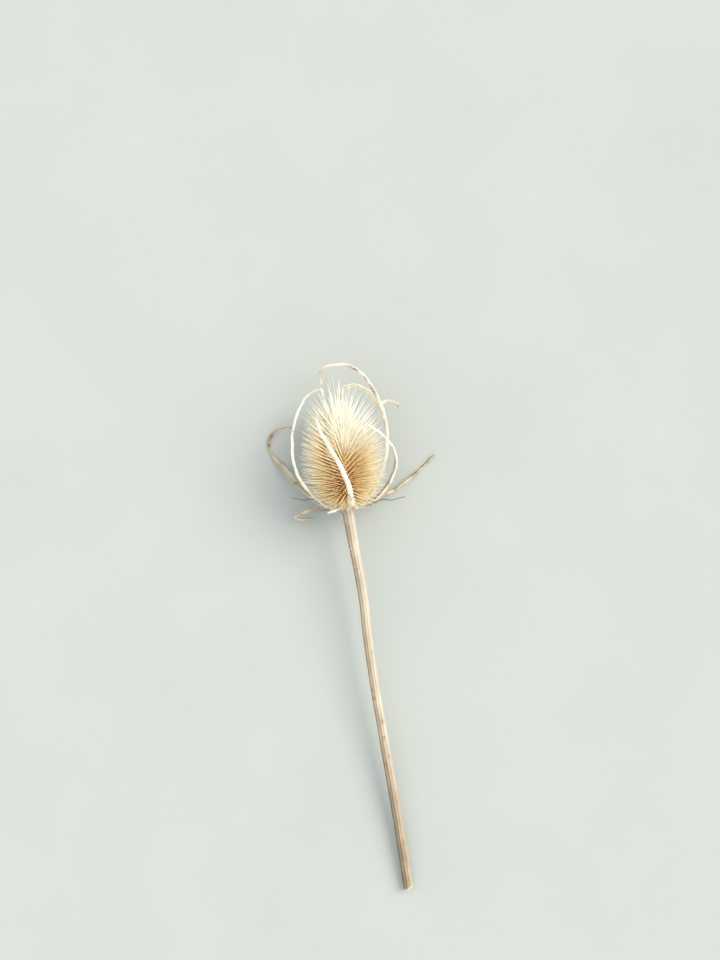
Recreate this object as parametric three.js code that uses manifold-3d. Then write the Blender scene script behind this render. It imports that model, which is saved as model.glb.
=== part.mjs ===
// A dried teasel head on its cut stem, lying where it was put down on a table.
// Millimetres, +Z up. The table is z = 0, the stem lies along Y with the head towards +Y, and the origin is
// the middle of the part's box on the table. Until it is moved there, the part is drawn in the plant's own
// frame, whose x and y are 0 at the foot of the head, where the head sits on the stem.

import * as THREE from "three";
import { mergeVertices } from "three/addons/utils/BufferGeometryUtils.js";
import Module from "manifold-3d";

const wasm = await Module();
wasm.setup();

// The head: a woody core, the receptacle, which the spines stand out of
const FOOT_HEIGHT = 24; // the foot of the head above the table
const HEAD_LEAN = 4; // degrees, towards -X
const HEAD_RISE = 5; // degrees, the axis climbs from the cut end of the stem to the crown
const CORE_BOTTOM = 0.35;
const CORE_FOOT_RADIUS = 5.4;
const CORE_MIDDLE = 29; // height of the core's middle above the foot
const CORE_HALF_LENGTH = 28.6;
const CORE_RADIUS = 13.5;
const CORE_SIDES = 16;
const CORE_RINGS = 9;
const LOWEST_RING = 0.1; // share of the way up the core
const HIGHEST_RING = 0.97;

// The spines, one for each cell of the core's surface, set on a spiral
const SPINE_CELL = 5.4; // mm2 of core for each spine
const SPINE_RADIUS = 0.95; // of the three-sided root
const SPINE_SUNK = 2.5;
const FIRST_SPINE = 0.09; // share of the way up the core
const LAST_SPINE = 0.995;
const SPINE_WANDER = 0.055; // how far a spine strays from its direction, as a share of its length
const UNEVEN = 0.05; // how far its length does
const CROWN_REACH = 1.6; // least reach that the spacing counts with, near the core's point
const GOLDEN_ANGLE = Math.PI * (3 - Math.sqrt(5));

// The stem, ribbed, with short prickles on its ribs
const STEM_RIBS = 8;
const RIB_DEPTH = 0.085; // share of the radius
const STEM_STEPS = 36;
const STEM_PRICKLES = 34;
const PRICKLE_LENGTH = 1.7;
const PRICKLE_RADIUS = 0.55;
const PRICKLE_FALL = 0.7; // how far a prickle's tip points down the stem
const PRICKLED = [0.04, 0.955]; // shares of the way up the stem
const PITH_RADIUS = 1.5; // the hollow that the cut end shows
const PITH_DEPTH = 9;
const CUT_SLANT = 20; // degrees, the cut end against a square cut
const CUT_BACK = 2; // from the first point of the stem's path to the cut

// The ruff: long narrow bracts round the foot of the head
const FOLD_DEPTH = 2.3; // keel to margin, at full width, as a bract is folded along its keel
const ROOT_REACH = 7.1; // from the head's axis to the bract's root, clear of the stem's collar
const ROOT_DROP = -1.9; // below the foot of the head
const PASS_REACH = 12.5; // a second point, where the bract passes below the lowest spines
const PASS_DROP = -2.4;
const LOWEST_PRICKLE = 4; // height above the table, as the lower thorns are pressed flat
const SHALLOWEST = 0.6; // share of the depth that a bract keeps to its tip
const RINGS_PER_SPAN = 3;
const ROLL_START = 10; // how far along a rolled bract its roll begins
const ROLL_RUN = 25; // and how far on it is complete
const THORN_LENGTH = 1.6; // of the prickles on the bracts
const THORN_RADIUS = 0.42;
const THORN_SLANT = 0.8; // how far a thorn's tip points along the bract
const THORNED = [0.25, 0.85]; // shares of the way along the bract

// Spines bend clear of the table, and of the bracts that pass close to them
const TABLE_CLEAR = 0.15;
const BRACT_CLEAR = 0.68;
const SPOT_SPACING = 0.8; // between the places on a bract that are looked at
const BENDS = 4; // rounds of bending, as a spine pushed off one bract can meet the next

const point = (x, y, z) => new THREE.Vector3(x, y, z);
const radians = THREE.MathUtils.degToRad;
const { lerp, clamp } = THREE.MathUtils;

/** A seeded draw from -1 to 1, the same one each time for the same number. */
function draw(seed) {
  const wave = Math.sin(seed * 127.1 + 311.7) * 43758.5453;
  return 2 * (wave - Math.floor(wave)) - 1;
}

/** The manifold-3d solid of a closed geometry. */
function solidOf(geometry) {
  geometry.deleteAttribute("normal");
  geometry.deleteAttribute("uv");
  const merged = mergeVertices(geometry, 1e-4);
  return new wasm.Manifold(
    new wasm.Mesh({
      numProp: 3,
      vertProperties: merged.attributes.position.array,
      triVerts: new Uint32Array(merged.index.array),
    }),
  );
}

/** A mesh of a solid, in a dry plant's colour. */
function meshOf(name, solid, colour) {
  const { vertProperties, triVerts } = solid.getMesh();
  const geometry = new THREE.BufferGeometry()
    .setAttribute("position", new THREE.BufferAttribute(vertProperties, 3))
    .setIndex(new THREE.BufferAttribute(triVerts, 1));
  const material = new THREE.MeshStandardMaterial({ color: colour, roughness: 0.75, flatShading: true });
  const mesh = new THREE.Mesh(geometry, material);
  mesh.name = name;
  return mesh;
}

/** Frames along a curve. `out` starts as firstOut and is carried along with no twist of its own. */
function framesAlong(curve, steps, firstOut) {
  const frames = [];
  let out = firstOut;
  let run = 0;
  for (let i = 0; i <= steps; i++) {
    const at = curve.getPoint(i / steps);
    const along = curve.getTangent(i / steps);
    out = out.clone().addScaledVector(along, -out.dot(along)).normalize();
    if (i > 0) run += at.distanceTo(frames[i - 1].at);
    frames.push({ at, along, out, side: along.clone().cross(out), run });
  }
  return frames;
}

/**
 * A closed solid along frames: a cylinder grid whose rings are moved onto them. ring(corner, frame) gives a
 * corner of the section as [side, out]; corner 0 faces out and the next ones turn towards side.
 */
function sweep(frames, corners, ring) {
  const steps = frames.length - 1;
  const geometry = new THREE.CylinderGeometry(1, 1, 1, corners, steps);
  const spots = geometry.attributes.position;
  for (let i = 0; i < spots.count; i++) {
    const reach = Math.min(1, Math.hypot(spots.getX(i), spots.getZ(i))); // 0 in the middle of an end cap
    const turn = Math.atan2(spots.getX(i), spots.getZ(i)) / (2 * Math.PI);
    const corner = (Math.round(turn * corners) + corners) % corners;
    const frame = frames[Math.round((spots.getY(i) + 0.5) * steps)];
    const [side, out] = ring(corner, frame);
    const spot = frame.at.clone().addScaledVector(frame.side, side * reach);
    spot.addScaledVector(frame.out, out * reach);
    spots.setXYZ(i, spot.x, spot.y, spot.z);
  }
  return solidOf(geometry);
}

/** A three-sided needle from its sunk root to its tip. */
function needle(root, tip, radius) {
  const reach = tip.clone().sub(root);
  const geometry = new THREE.ConeGeometry(radius, reach.length(), 3);
  geometry.translate(0, reach.length() / 2, 0);
  geometry.applyQuaternion(new THREE.Quaternion().setFromUnitVectors(point(0, 1, 0), reach.normalize()));
  geometry.translate(root.x, root.y, root.z);
  return solidOf(geometry);
}

/** The value at x on a line through [x, value] knots. */
function onLine(knots, x) {
  const last = knots.findIndex(([knot]) => knot >= x);
  if (last <= 0) return last === 0 ? knots[0][1] : knots.at(-1)[1];
  const [[x0, v0], [x1, v1]] = [knots[last - 1], knots[last]];
  return v0 + ((v1 - v0) * (x - x0)) / (x1 - x0);
}

// The head, drawn upright round its own Y axis and then laid over

const headPose = new THREE.Matrix4()
  .makeRotationFromEuler(new THREE.Euler(radians(HEAD_RISE), 0, radians(HEAD_LEAN)))
  .setPosition(0, 0, FOOT_HEIGHT);

/** The core's surface, `up` running from 0 at the foot to 1 at the crown: an egg, fuller below its middle. */
function coreAt(up) {
  const turn = Math.PI * up ** 0.85;
  return {
    reach: CORE_RADIUS * Math.max(0, Math.sin(turn)) ** 0.8,
    height: CORE_MIDDLE - CORE_HALF_LENGTH * Math.cos(Math.PI * up),
  };
}

/** Angle of a spine to the head's axis: drooping at the foot, level above it, straight up at the crown. */
const spineAngle = (up) => radians(115 - 84 * up - 31 * up ** 3 + 44 * Math.max(0, 1 - up / 0.22) ** 2);

/** How far a spine stands out: short at the foot, longest at the crown. */
const spineLength = (up) => 13.4 * (1 - Math.exp(-up / 0.08)) + 5 * up ** 4;

function core() {
  const profile = [new THREE.Vector2(0, CORE_BOTTOM), new THREE.Vector2(CORE_FOOT_RADIUS, CORE_BOTTOM)];
  for (let ring = 0; ring < CORE_RINGS; ring++) {
    const { reach, height } = coreAt(lerp(LOWEST_RING, HIGHEST_RING, ring / (CORE_RINGS - 1)));
    profile.push(new THREE.Vector2(reach, height));
  }
  profile.push(new THREE.Vector2(0, coreAt(1).height));
  return solidOf(new THREE.LatheGeometry(profile, CORE_SIDES));
}

/** Bends a spine, in the plant's frame, until it clears the table and the bracts, and keeps its length. */
function bendClear(foot, tip, spots) {
  const spine = new THREE.Line3(foot, tip);
  const length = spine.distance();
  const near = point(0, 0, 0);
  for (let bend = 0; bend < BENDS; bend++) {
    for (const { at, reach } of spots) {
      spine.closestPointToPoint(at, true, near);
      const away = near.clone().sub(at);
      const short = reach + BRACT_CLEAR - away.length();
      if (short <= 0) continue;
      const share = Math.max(0.5, near.distanceTo(foot) / spine.distance());
      tip.addScaledVector(away.setZ(Math.max(away.z, 0)).normalize(), short / share);
    }
    tip.z = Math.max(tip.z, TABLE_CLEAR);
  }
  tip.sub(foot).clampLength(0, length).add(foot);
}

/** The core with its spines. `spots` are the places along the bracts that the spines keep clear of. */
function seedHead(spots) {
  const pieces = [core().transform(headPose.elements)];
  let up = FIRST_SPINE;
  for (let i = 0; up < LAST_SPINE; i++) {
    const { reach, height } = coreAt(up);
    const round = i * GOLDEN_ANGLE;
    const radial = point(Math.cos(round), 0, Math.sin(round));
    const angle = spineAngle(up);
    const way = radial.clone().multiplyScalar(Math.sin(angle)).add(point(0, Math.cos(angle), 0));
    way.add(point(draw(i), draw(i + 0.31), draw(i + 0.62)).multiplyScalar(SPINE_WANDER)).normalize();
    const length = spineLength(up) * (1 + UNEVEN * draw(i + 0.87));
    const foot = radial.multiplyScalar(reach).add(point(0, height, 0));
    const tip = foot.clone().addScaledVector(way, length).applyMatrix4(headPose);
    foot.applyMatrix4(headPose);
    bendClear(foot, tip, spots);
    const root = foot.clone().addScaledVector(tip.clone().sub(foot).normalize(), -SPINE_SUNK);
    pieces.push(needle(root, tip, SPINE_RADIUS));
    const next = coreAt(up + 0.001);
    const slope = Math.hypot(next.reach - reach, next.height - height) / 0.001;
    up += SPINE_CELL / (2 * Math.PI * Math.max(reach, CROWN_REACH) * slope);
  }
  return wasm.Manifold.union(pieces);
}

// The stem

/** Points along the middle of the stem, from the cut end up to the foot of the head. */
const STEM_PATH = [
  [38.4, -238, 2.6],
  [33.8, -208, 5],
  [29.2, -180, 7.6],
  [25, -156, 9.9],
  [21, -133, 12.1],
  [17.1, -110, 14.2],
  [14.3, -91, 16],
  [12.3, -76, 17.3],
  [11.2, -64, 18.3],
  [9.1, -50, 19.5],
  [6.3, -35, 20.9],
  [3.8, -21.5, 22.1],
  [2.3, -12.5, 22.9],
  [1.3, -6.4, 23.4],
  [0.2, -2.6, 23.77],
  [0, 0, 24],
];

/** Radius of the stem at a distance below the foot of the head: a collar, a thick neck, then slender. */
const STEM_RADII = [
  [0, 6.2],
  [1.3, 5.8],
  [3, 4],
  [6, 3.2],
  [14, 2.9],
  [30, 2.6],
  [90, 2.45],
  [130, 2.45],
  [165, 2.6],
  [250, 2.7],
];

function stem() {
  const curve = new THREE.CatmullRomCurve3(
    STEM_PATH.map((at) => point(...at)),
    false,
    "catmullrom",
  );
  const frames = framesAlong(curve, STEM_STEPS, point(0, 0, 1));
  const length = frames.at(-1).run;
  const radiusAt = (run) => onLine(STEM_RADII, length - run);
  const corners = 2 * STEM_RIBS;
  let solid = sweep(frames, corners, (corner, frame) => {
    const rib = corner % 2 === 0 ? 1 + RIB_DEPTH : 1 - RIB_DEPTH;
    const angle = (2 * Math.PI * corner) / corners;
    return [Math.sin(angle) * rib * radiusAt(frame.run), Math.cos(angle) * rib * radiusAt(frame.run)];
  });

  const prickles = [];
  for (let i = 0; i < STEM_PRICKLES; i++) {
    const t = lerp(...PRICKLED, (i + 0.4 * draw(i + 5)) / (STEM_PRICKLES - 1));
    const at = curve.getPoint(t);
    const along = curve.getTangent(t);
    const rib = Math.round((i * GOLDEN_ANGLE * STEM_RIBS) / (2 * Math.PI)) % STEM_RIBS;
    const angle = (2 * Math.PI * rib) / STEM_RIBS;
    const out = point(0, 0, 1).addScaledVector(along, -along.z).normalize().applyAxisAngle(along, angle);
    const radius = radiusAt(frames[Math.round(t * STEM_STEPS)].run);
    const root = at.clone().addScaledVector(out, 0.75 * radius);
    const tip = at.clone().addScaledVector(out, radius + PRICKLE_LENGTH);
    tip.addScaledVector(along, -PRICKLE_FALL);
    if (tip.z > TABLE_CLEAR) prickles.push(needle(root, tip, PRICKLE_RADIUS));
  }
  solid = wasm.Manifold.union([solid, ...prickles]);

  const { at, along } = frames[0];
  const slant = along.clone().applyAxisAngle(point(0, 0, 1), radians(CUT_SLANT));
  const cutAt = at.clone().addScaledVector(along, CUT_BACK);
  solid = solid.trimByPlane(slant.toArray(), slant.dot(cutAt));
  const bore = new THREE.CylinderGeometry(PITH_RADIUS, PITH_RADIUS * 0.8, 2 * PITH_DEPTH, 8);
  bore.applyQuaternion(new THREE.Quaternion().setFromUnitVectors(point(0, -1, 0), along));
  bore.translate(cutAt.x, cutAt.y, cutAt.z);
  return solid.subtract(solidOf(bore)).trimByPlane([0, 0, 1], 0);
}

// The bracts

/**
 * Across a bract, seen along it: a keel outside, thin margins, and a shallow channel inside. Shares of the
 * width and of the fold's depth, from the keel round.
 */
const BRACT_SECTION = [
  [0, 0.5],
  [0.26, 0.2],
  [0.5, -0.32],
  [0, -0.12],
  [-0.5, -0.32],
  [-0.26, 0.2],
];

/** Share of the full width along a bract: narrow at the root, widest soon after, then a long even blade. */
const EVEN_TAPER = [
  [0, 0.62],
  [0.12, 1],
  [0.35, 0.9],
  [0.65, 0.8],
  [0.88, 0.58],
  [1, 0.16],
];

/** The same for a bract that narrows from its middle on. */
const BROAD_HALF_TAPER = [
  [0, 0.62],
  [0.12, 1],
  [0.5, 0.9],
  [0.64, 0.5],
  [0.9, 0.38],
  [1, 0.12],
];

/**
 * Each bract: `azimuth` is where it leaves the collar, in degrees from +X round towards +Z; `width` is its
 * widest; `fold` is how deep its fold is against the others'; `roll` turns it round its own line, in degrees;
 * `passDrop` is the rise of the point where it passes the lowest spines; `prickles` is how many it has; `path`
 * takes it on from there, in the plant's frame.
 */
const BRACTS = [
  {
    name: "bract_front",
    azimuth: 73,
    width: 3.4,
    passDrop: -0.8,
    prickles: 6,
    path: [
      [3.5, 2, 46.5], [2.3, 8, 51.2], [0, 15, 53.8], [-4.9, 25, 55], [-11, 35, 54.6], [-15, 42.5, 52.8],
      [-18, 51, 49],
    ],
  },
  {
    name: "bract_left_arc",
    azimuth: 166,
    width: 2.7,
    passDrop: -1,
    prickles: 8,
    path: [
      [-18.8, 3.5, 28.8], [-24.7, 10, 32.3], [-29.3, 18, 34], [-31.6, 27, 34], [-32.2, 36.5, 33.5],
      [-31.2, 46, 33], [-28.2, 55.5, 32.8], [-24, 63, 34], [-18.5, 67, 37], [-15, 67.5, 41],
      [-13.5, 63.5, 45], [-13.8, 56.5, 48.4],
    ],
  },
  {
    name: "bract_right_arc",
    azimuth: 300,
    width: 3,
    fold: 1.3,
    roll: -35,
    prickles: 9,
    path: [
      [14.8, 5, 4.6], [20.2, 15, 6.5], [23.4, 25, 10.6], [24.7, 33, 15.4], [24.6, 42.5, 20], [23.1, 52.3, 24],
      [18.8, 63.6, 27], [11.6, 75.4, 29], [2, 82.3, 30], [-8, 82.8, 31], [-13.8, 80.5, 31.5], [-16, 77, 32],
      [-15, 73.5, 33], [-14.5, 70.5, 34.5],
    ],
  },
  {
    name: "bract_under",
    azimuth: 262,
    width: 3.6,
    fold: 1.5,
    prickles: 5,
    path: [
      [-3, 6.5, 1.7], [-2.4, 12, 0.55], [-2, 25, 0.5], [-2.4, 38.5, 0.6], [-3.6, 50.5, 2.8], [-4.3, 59.5, 8],
      [-4, 65.5, 14.5], [-1.5, 69.5, 19], [4, 71, 22], [9, 70, 23.5], [14, 66.5, 24.5], [17, 61.8, 24.2],
      [19.4, 57.4, 23], [20.6, 58.4, 21], [21.8, 60.6, 19.4], [24.2, 61.9, 18.8], [27.5, 61.5, 18.8],
      [30.3, 60.1, 19], [31.8, 58.2, 19.6], [30.4, 57.4, 20.8],
    ],
  },
  {
    name: "bract_right_hook",
    azimuth: 350,
    width: 3.8,
    fold: 1.2,
    roll: 27,
    passDrop: -1,
    taper: BROAD_HALF_TAPER,
    prickles: 6,
    path: [
      [18.2, 2.6, 20.5], [24.2, 9.3, 22.8], [28.3, 17, 25.8], [30, 24.5, 28.2], [29.3, 30.4, 30.6],
      [26.8, 35.2, 33.8], [22.7, 39.8, 38.6], [17.6, 43.8, 43.8], [12.5, 46.7, 48],
    ],
  },
  {
    name: "bract_right_spread",
    azimuth: 328,
    width: 3,
    fold: 1.4,
    passDrop: -1,
    prickles: 5,
    path: [
      [22.6, 4.8, 14.5], [28.9, 7.6, 8.8], [35.6, 12.4, 4], [42.6, 17.8, 1], [49.6, 24.6, 0.7],
      [54.6, 29.6, 2.2],
    ],
  },
  {
    name: "bract_left_hook",
    azimuth: 200,
    width: 4.4,
    fold: 1.15,
    roll: -27,
    passDrop: -1,
    taper: BROAD_HALF_TAPER,
    prickles: 7,
    path: [
      [-20.8, 3.4, 14.5], [-25.8, 7.6, 12], [-33.2, 14.4, 7], [-40.2, 22.2, 2.6], [-45.7, 29.4, 0.5],
      [-47.6, 35.6, 0.5], [-46, 40.9, 1.6], [-42, 44.4, 3.8], [-36.8, 46.3, 6.8], [-31.8, 45.5, 9.8],
    ],
  },
  {
    name: "bract_low_left",
    azimuth: 225,
    width: 4.4,
    fold: 1.3,
    taper: BROAD_HALF_TAPER,
    prickles: 3,
    path: [
      [-15.4, -2, 12.5], [-20.6, -4, 11.2], [-25.6, -5.9, 10], [-30.5, -8.4, 8.6], [-29.8, -9.9, 7.4],
      [-25.4, -10, 6.8], [-18.8, -9.4, 6.2],
    ],
  },
  {
    name: "bract_low_front",
    azimuth: 118,
    width: 2.4,
    prickles: 1,
    path: [[-5.7, -3.8, 38], [-8.1, -5.1, 42], [-11.3, -6, 45]],
  },
  {
    name: "bract_spike_left",
    azimuth: 181,
    width: 1.7,
    fold: 0.75,
    prickles: 0,
    path: [[-20, 2, 23.2], [-25, 1.8, 23.2], [-30.2, 2.5, 23.6], [-33.8, 3.5, 24.2]],
  },
  {
    name: "bract_spike_low",
    azimuth: 243,
    width: 1.7,
    prickles: 0,
    path: [[-12.8, -4.2, 7.6], [-18.5, -5.4, 3.6]],
  },
  {
    name: "bract_spike_right",
    azimuth: 12,
    width: 1.7,
    fold: 0.75,
    prickles: 0,
    path: [[20.5, 1.8, 25.6], [27, 1.9, 25.2], [32.4, 3.1, 25], [36.2, 4.1, 25.2]],
  },
];

/** A point round the foot of the head, from its azimuth in degrees, its reach from the axis and its rise. */
function roundFoot(azimuth, reach, rise) {
  const turn = radians(azimuth);
  return point(reach * Math.cos(turn), rise, reach * Math.sin(turn)).applyMatrix4(headPose);
}

/** The frames along a bract, each with the width and the depth of the fold there. */
function bractFrames({ azimuth, width, fold = 1, roll = 0, passDrop = PASS_DROP, path, taper = EVEN_TAPER }) {
  const knots = [
    roundFoot(azimuth, ROOT_REACH, ROOT_DROP),
    roundFoot(azimuth, PASS_REACH, passDrop),
    ...path.map((at) => point(...at)),
  ];
  const curve = new THREE.CatmullRomCurve3(knots, false, "catmullrom");
  const down = point(0, -1, 0).transformDirection(headPose);
  const frames = framesAlong(curve, RINGS_PER_SPAN * (knots.length - 1), down);
  const fullDepth = FOLD_DEPTH * fold * (0.6 + 0.1 * width);
  for (const frame of frames) {
    const share = onLine(taper, frame.run / frames.at(-1).run);
    frame.width = width * share;
    frame.depth = fullDepth * Math.max(share, SHALLOWEST);
    const turn = radians(roll) * clamp((frame.run - ROLL_START) / ROLL_RUN, 0, 1);
    frame.out = frame.out.clone().applyAxisAngle(frame.along, turn);
    frame.side = frame.along.clone().cross(frame.out);
  }
  return frames;
}

/** Places along a bract, closer together than its frames, and how far its margins or keel reach from each. */
function spotsAlong({ frames }) {
  return frames.slice(1).flatMap((frame, i) => {
    const reach = 0.5 * Math.max(frame.width, frame.depth);
    const count = Math.ceil((frame.run - frames[i].run) / SPOT_SPACING);
    return Array.from({ length: count }, (_, k) => {
      const at = frames[i].at.clone().lerp(frame.at, k / count);
      return { at, reach };
    });
  });
}

function bract({ prickles, frames }) {
  const blade = sweep(frames, BRACT_SECTION.length, (corner, frame) => {
    const [side, out] = BRACT_SECTION[corner];
    return [side * frame.width, out * frame.depth];
  });

  const spikes = [];
  for (let i = 0; i < prickles; i++) {
    const frame = frames[Math.round(frames.length * lerp(...THORNED, i / prickles))];
    const turn = i % 3; // keel, then one margin, then the other
    const out = turn === 0 ? frame.out.clone() : frame.side.clone().multiplyScalar(turn === 1 ? 1 : -1);
    const start = turn === 0 ? 0 : 0.28 * frame.width;
    const root = frame.at.clone().addScaledVector(out, start);
    const tip = root.clone().addScaledVector(out, THORN_LENGTH).addScaledVector(frame.along, THORN_SLANT);
    if (frame.at.z > LOWEST_PRICKLE) spikes.push(needle(root, tip, THORN_RADIUS));
  }
  return wasm.Manifold.union([blade, ...spikes]).trimByPlane([0, 0, 1], 0);
}

// The part

const ruff = BRACTS.map((each) => ({ ...each, frames: bractFrames(each) }));
const ruffSpots = ruff.flatMap(spotsAlong);
const plant = new THREE.Group();
plant.add(meshOf("seed_head", seedHead(ruffSpots), 0xdcc391), meshOf("stem", stem(), 0xd9c6a3));
for (const each of ruff) plant.add(meshOf(each.name, bract(each), 0xeee6cf));

plant.updateMatrixWorld(true);
const box = new THREE.Box3().setFromObject(plant, true);
const middle = box.getCenter(point(0, 0, 0));
plant.position.set(-middle.x, -middle.y, -box.min.z);

const teasel = new THREE.Group();
teasel.add(plant);

export default teasel;
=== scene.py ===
"""A dried teasel head on its cut stem, dressed for the picture.

Every CAD node is replaced by a finer piece of the same form: the stem with its ribs, prickles and bristles,
the head with its keeled scales and their long awns, and the ruff of curling bracts. The drawing is in
millimetres in the plant's own frame, whose x and y are 0 at the foot of the head, and Lie.to_table puts it
where the CAD part lies.
"""

from __future__ import annotations

import logging
import math
from dataclasses import dataclass, field
from enum import Enum

import bpy
import numpy as np
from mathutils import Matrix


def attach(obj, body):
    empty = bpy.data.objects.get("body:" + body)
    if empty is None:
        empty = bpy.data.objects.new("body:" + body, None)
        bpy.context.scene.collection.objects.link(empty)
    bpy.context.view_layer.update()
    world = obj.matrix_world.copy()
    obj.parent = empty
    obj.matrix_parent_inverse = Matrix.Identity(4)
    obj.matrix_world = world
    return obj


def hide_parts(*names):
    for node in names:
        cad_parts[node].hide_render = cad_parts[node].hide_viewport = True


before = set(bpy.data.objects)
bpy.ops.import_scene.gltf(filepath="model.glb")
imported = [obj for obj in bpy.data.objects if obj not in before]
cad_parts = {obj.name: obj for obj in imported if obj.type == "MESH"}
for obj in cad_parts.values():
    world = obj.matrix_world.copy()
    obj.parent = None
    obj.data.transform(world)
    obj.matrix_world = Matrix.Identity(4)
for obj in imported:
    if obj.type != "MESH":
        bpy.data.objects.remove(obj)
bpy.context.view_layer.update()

log = logging.getLogger("teasel")

MM = 0.001
BODY = "root"
GOLDEN_ANGLE = math.pi * (3 - math.sqrt(5))
FULL_TURN = 2 * math.pi
# the lowest value of the mark "tan", for a blade bleached nearly white
PALEST = -0.15


# Where the plant lies


@dataclass(frozen=True)
class Lie:
    """How the plant lies on the table. Lengths in millimetres, angles in degrees."""

    foot_height: float = 24.0
    lean: float = 4.0
    rise: float = 5.0
    shift: tuple[float, float, float] = (-3.5001, 76.792, 0.0)

    def head_turn(self) -> np.ndarray:
        """The turn that lays the upright head over: first round Z by the lean, then round X by the rise.

        Returns:
            A 3 x 3 matrix, for column vectors.
        """
        a, b = math.radians(self.rise), math.radians(self.lean)
        about_x = np.array([[1, 0, 0], [0, math.cos(a), -math.sin(a)], [0, math.sin(a), math.cos(a)]])
        about_z = np.array([[math.cos(b), -math.sin(b), 0], [math.sin(b), math.cos(b), 0], [0, 0, 1]])
        return about_x @ about_z

    def from_head(self, points: np.ndarray) -> np.ndarray:
        """Points of the upright head, whose axis is Y from the foot, in the plant's frame."""
        return points @ self.head_turn().T + np.array([0.0, 0.0, self.foot_height])

    def to_table(self, points: np.ndarray) -> np.ndarray:
        """Points of the plant's frame where the CAD part has them: each plus the shift, and none below the
        table.

        Args:
            points: in the plant's frame, in millimetres.

        Returns:
            The points in the part's own frame, in metres.
        """
        placed = points + np.array(self.shift)
        placed[..., 2] = np.maximum(placed[..., 2], 0.0)
        return placed * MM


LIE = Lie()


# Shapes as whole arrays


@dataclass
class Shape:
    """A mesh before it is in the scene: points in the plant's frame, three- and four-sided faces, and point
    attributes."""

    points: np.ndarray
    triangles: np.ndarray
    quads: np.ndarray
    marks: dict[str, np.ndarray] = field(default_factory=dict)

    @staticmethod
    def joined(shapes: list[Shape]) -> Shape:
        """Several shapes as one. A mark that a shape lacks is 0 there.

        Args:
            shapes: the shapes to put together, in order.

        Returns:
            One shape, with the later shapes' face indices moved up.
        """
        starts = np.cumsum([0] + [len(s.points) for s in shapes])
        names = sorted({name for s in shapes for name in s.marks})
        return Shape(
            np.concatenate([s.points for s in shapes]),
            np.concatenate([s.triangles + start for s, start in zip(shapes, starts)]),
            np.concatenate([s.quads + start for s, start in zip(shapes, starts)]),
            {n: np.concatenate([s.marks.get(n, np.zeros(len(s.points))) for s in shapes]) for n in names},
        )

    def made(self, name: str, material: bpy.types.Material) -> bpy.types.Object:
        """Puts the shape into the scene as a smooth-shaded mesh.

        Args:
            name: the object's name.
            material: its only material.

        Returns:
            The new object, at the origin, with its place in its mesh.
        """
        mesh = bpy.data.meshes.new(name)
        mesh.vertices.add(len(self.points))
        mesh.vertices.foreach_set("co", LIE.to_table(self.points).astype(np.float32).ravel())
        corners = np.concatenate([self.triangles.ravel(), self.quads.ravel()]).astype(np.int32)
        mesh.loops.add(len(corners))
        mesh.loops.foreach_set("vertex_index", corners)
        sides = np.repeat([3, 4], [len(self.triangles), len(self.quads)])
        starts = np.concatenate([[0], np.cumsum(sides)[:-1]]).astype(np.int32)
        mesh.polygons.add(len(sides))
        mesh.polygons.foreach_set("loop_start", starts)
        mesh.update(calc_edges=True)
        mesh.polygons.foreach_set("use_smooth", np.ones(len(sides), bool))
        for mark, values in self.marks.items():
            attribute = mesh.attributes.new(mark, "FLOAT", "POINT")
            attribute.data.foreach_set("value", values.astype(np.float32))
        mesh.materials.append(material)
        if mesh.validate():
            log.warning("%s had faces without area, which are dropped", name)
        piece = bpy.data.objects.new(name, mesh)
        bpy.context.collection.objects.link(piece)
        return piece


def unit(vectors: np.ndarray) -> np.ndarray:
    """The vectors at length 1."""
    return vectors / np.maximum(np.linalg.norm(vectors, axis=-1, keepdims=True), 1e-12)


def smooth_line(knots: np.ndarray, count: int) -> np.ndarray:
    """Points on a smooth line: between two knots it is the cubic whose slope at each knot is
    half the step from the knot before to the knot after, with a knot mirrored past either end.

    Args:
        knots: the points it passes through, one a row.
        count: how many points to give, the first and last knot included.

    Returns:
        count points, evenly spaced in knots.
    """
    padded = np.vstack([2 * knots[0] - knots[1], knots, 2 * knots[-1] - knots[-2]])
    place = np.linspace(0, len(knots) - 1, count)
    span = np.minimum(place.astype(int), len(knots) - 2)
    w = (place - span)[:, None]
    before, here, there, after = (padded[span + k] for k in range(4))
    slope_here, slope_there = (there - before) / 2, (after - here) / 2
    return (
        (2 * here - 2 * there + slope_here + slope_there) * w**3
        + (3 * there - 3 * here - 2 * slope_here - slope_there) * w**2
        + slope_here * w
        + here
    )


def run_along(points: np.ndarray) -> np.ndarray:
    """Distance along a line of points, from 0 at the first."""
    return np.concatenate([[0.0], np.cumsum(np.linalg.norm(np.diff(points, axis=0), axis=1))])


def wander(run: np.ndarray, seed: int, wave: float) -> np.ndarray:
    """A smooth random run between about -1 and 1: the sum of three sines with seeded phases, of lengths
    wave, 0.61 wave and 0.37 wave, and of heights 0.5, 0.3 and 0.2.

    Args:
        run: distances along a line, in millimetres.
        seed: for the phases.
        wave: the length of the longest sine, in millimetres.

    Returns:
        A value for each distance.
    """
    lengths = wave * np.array([1.0, 0.61, 0.37])
    phases = np.random.default_rng(seed).uniform(0, FULL_TURN, 3)
    return (np.sin(FULL_TURN * run[..., None] / lengths + phases) * [0.5, 0.3, 0.2]).sum(-1)


def bell(places: np.ndarray, middle: float, reach: float) -> np.ndarray:
    """A bell curve, e^(-((place - middle) / reach)^2)."""
    return np.exp(-(((places - middle) / reach) ** 2))


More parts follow.
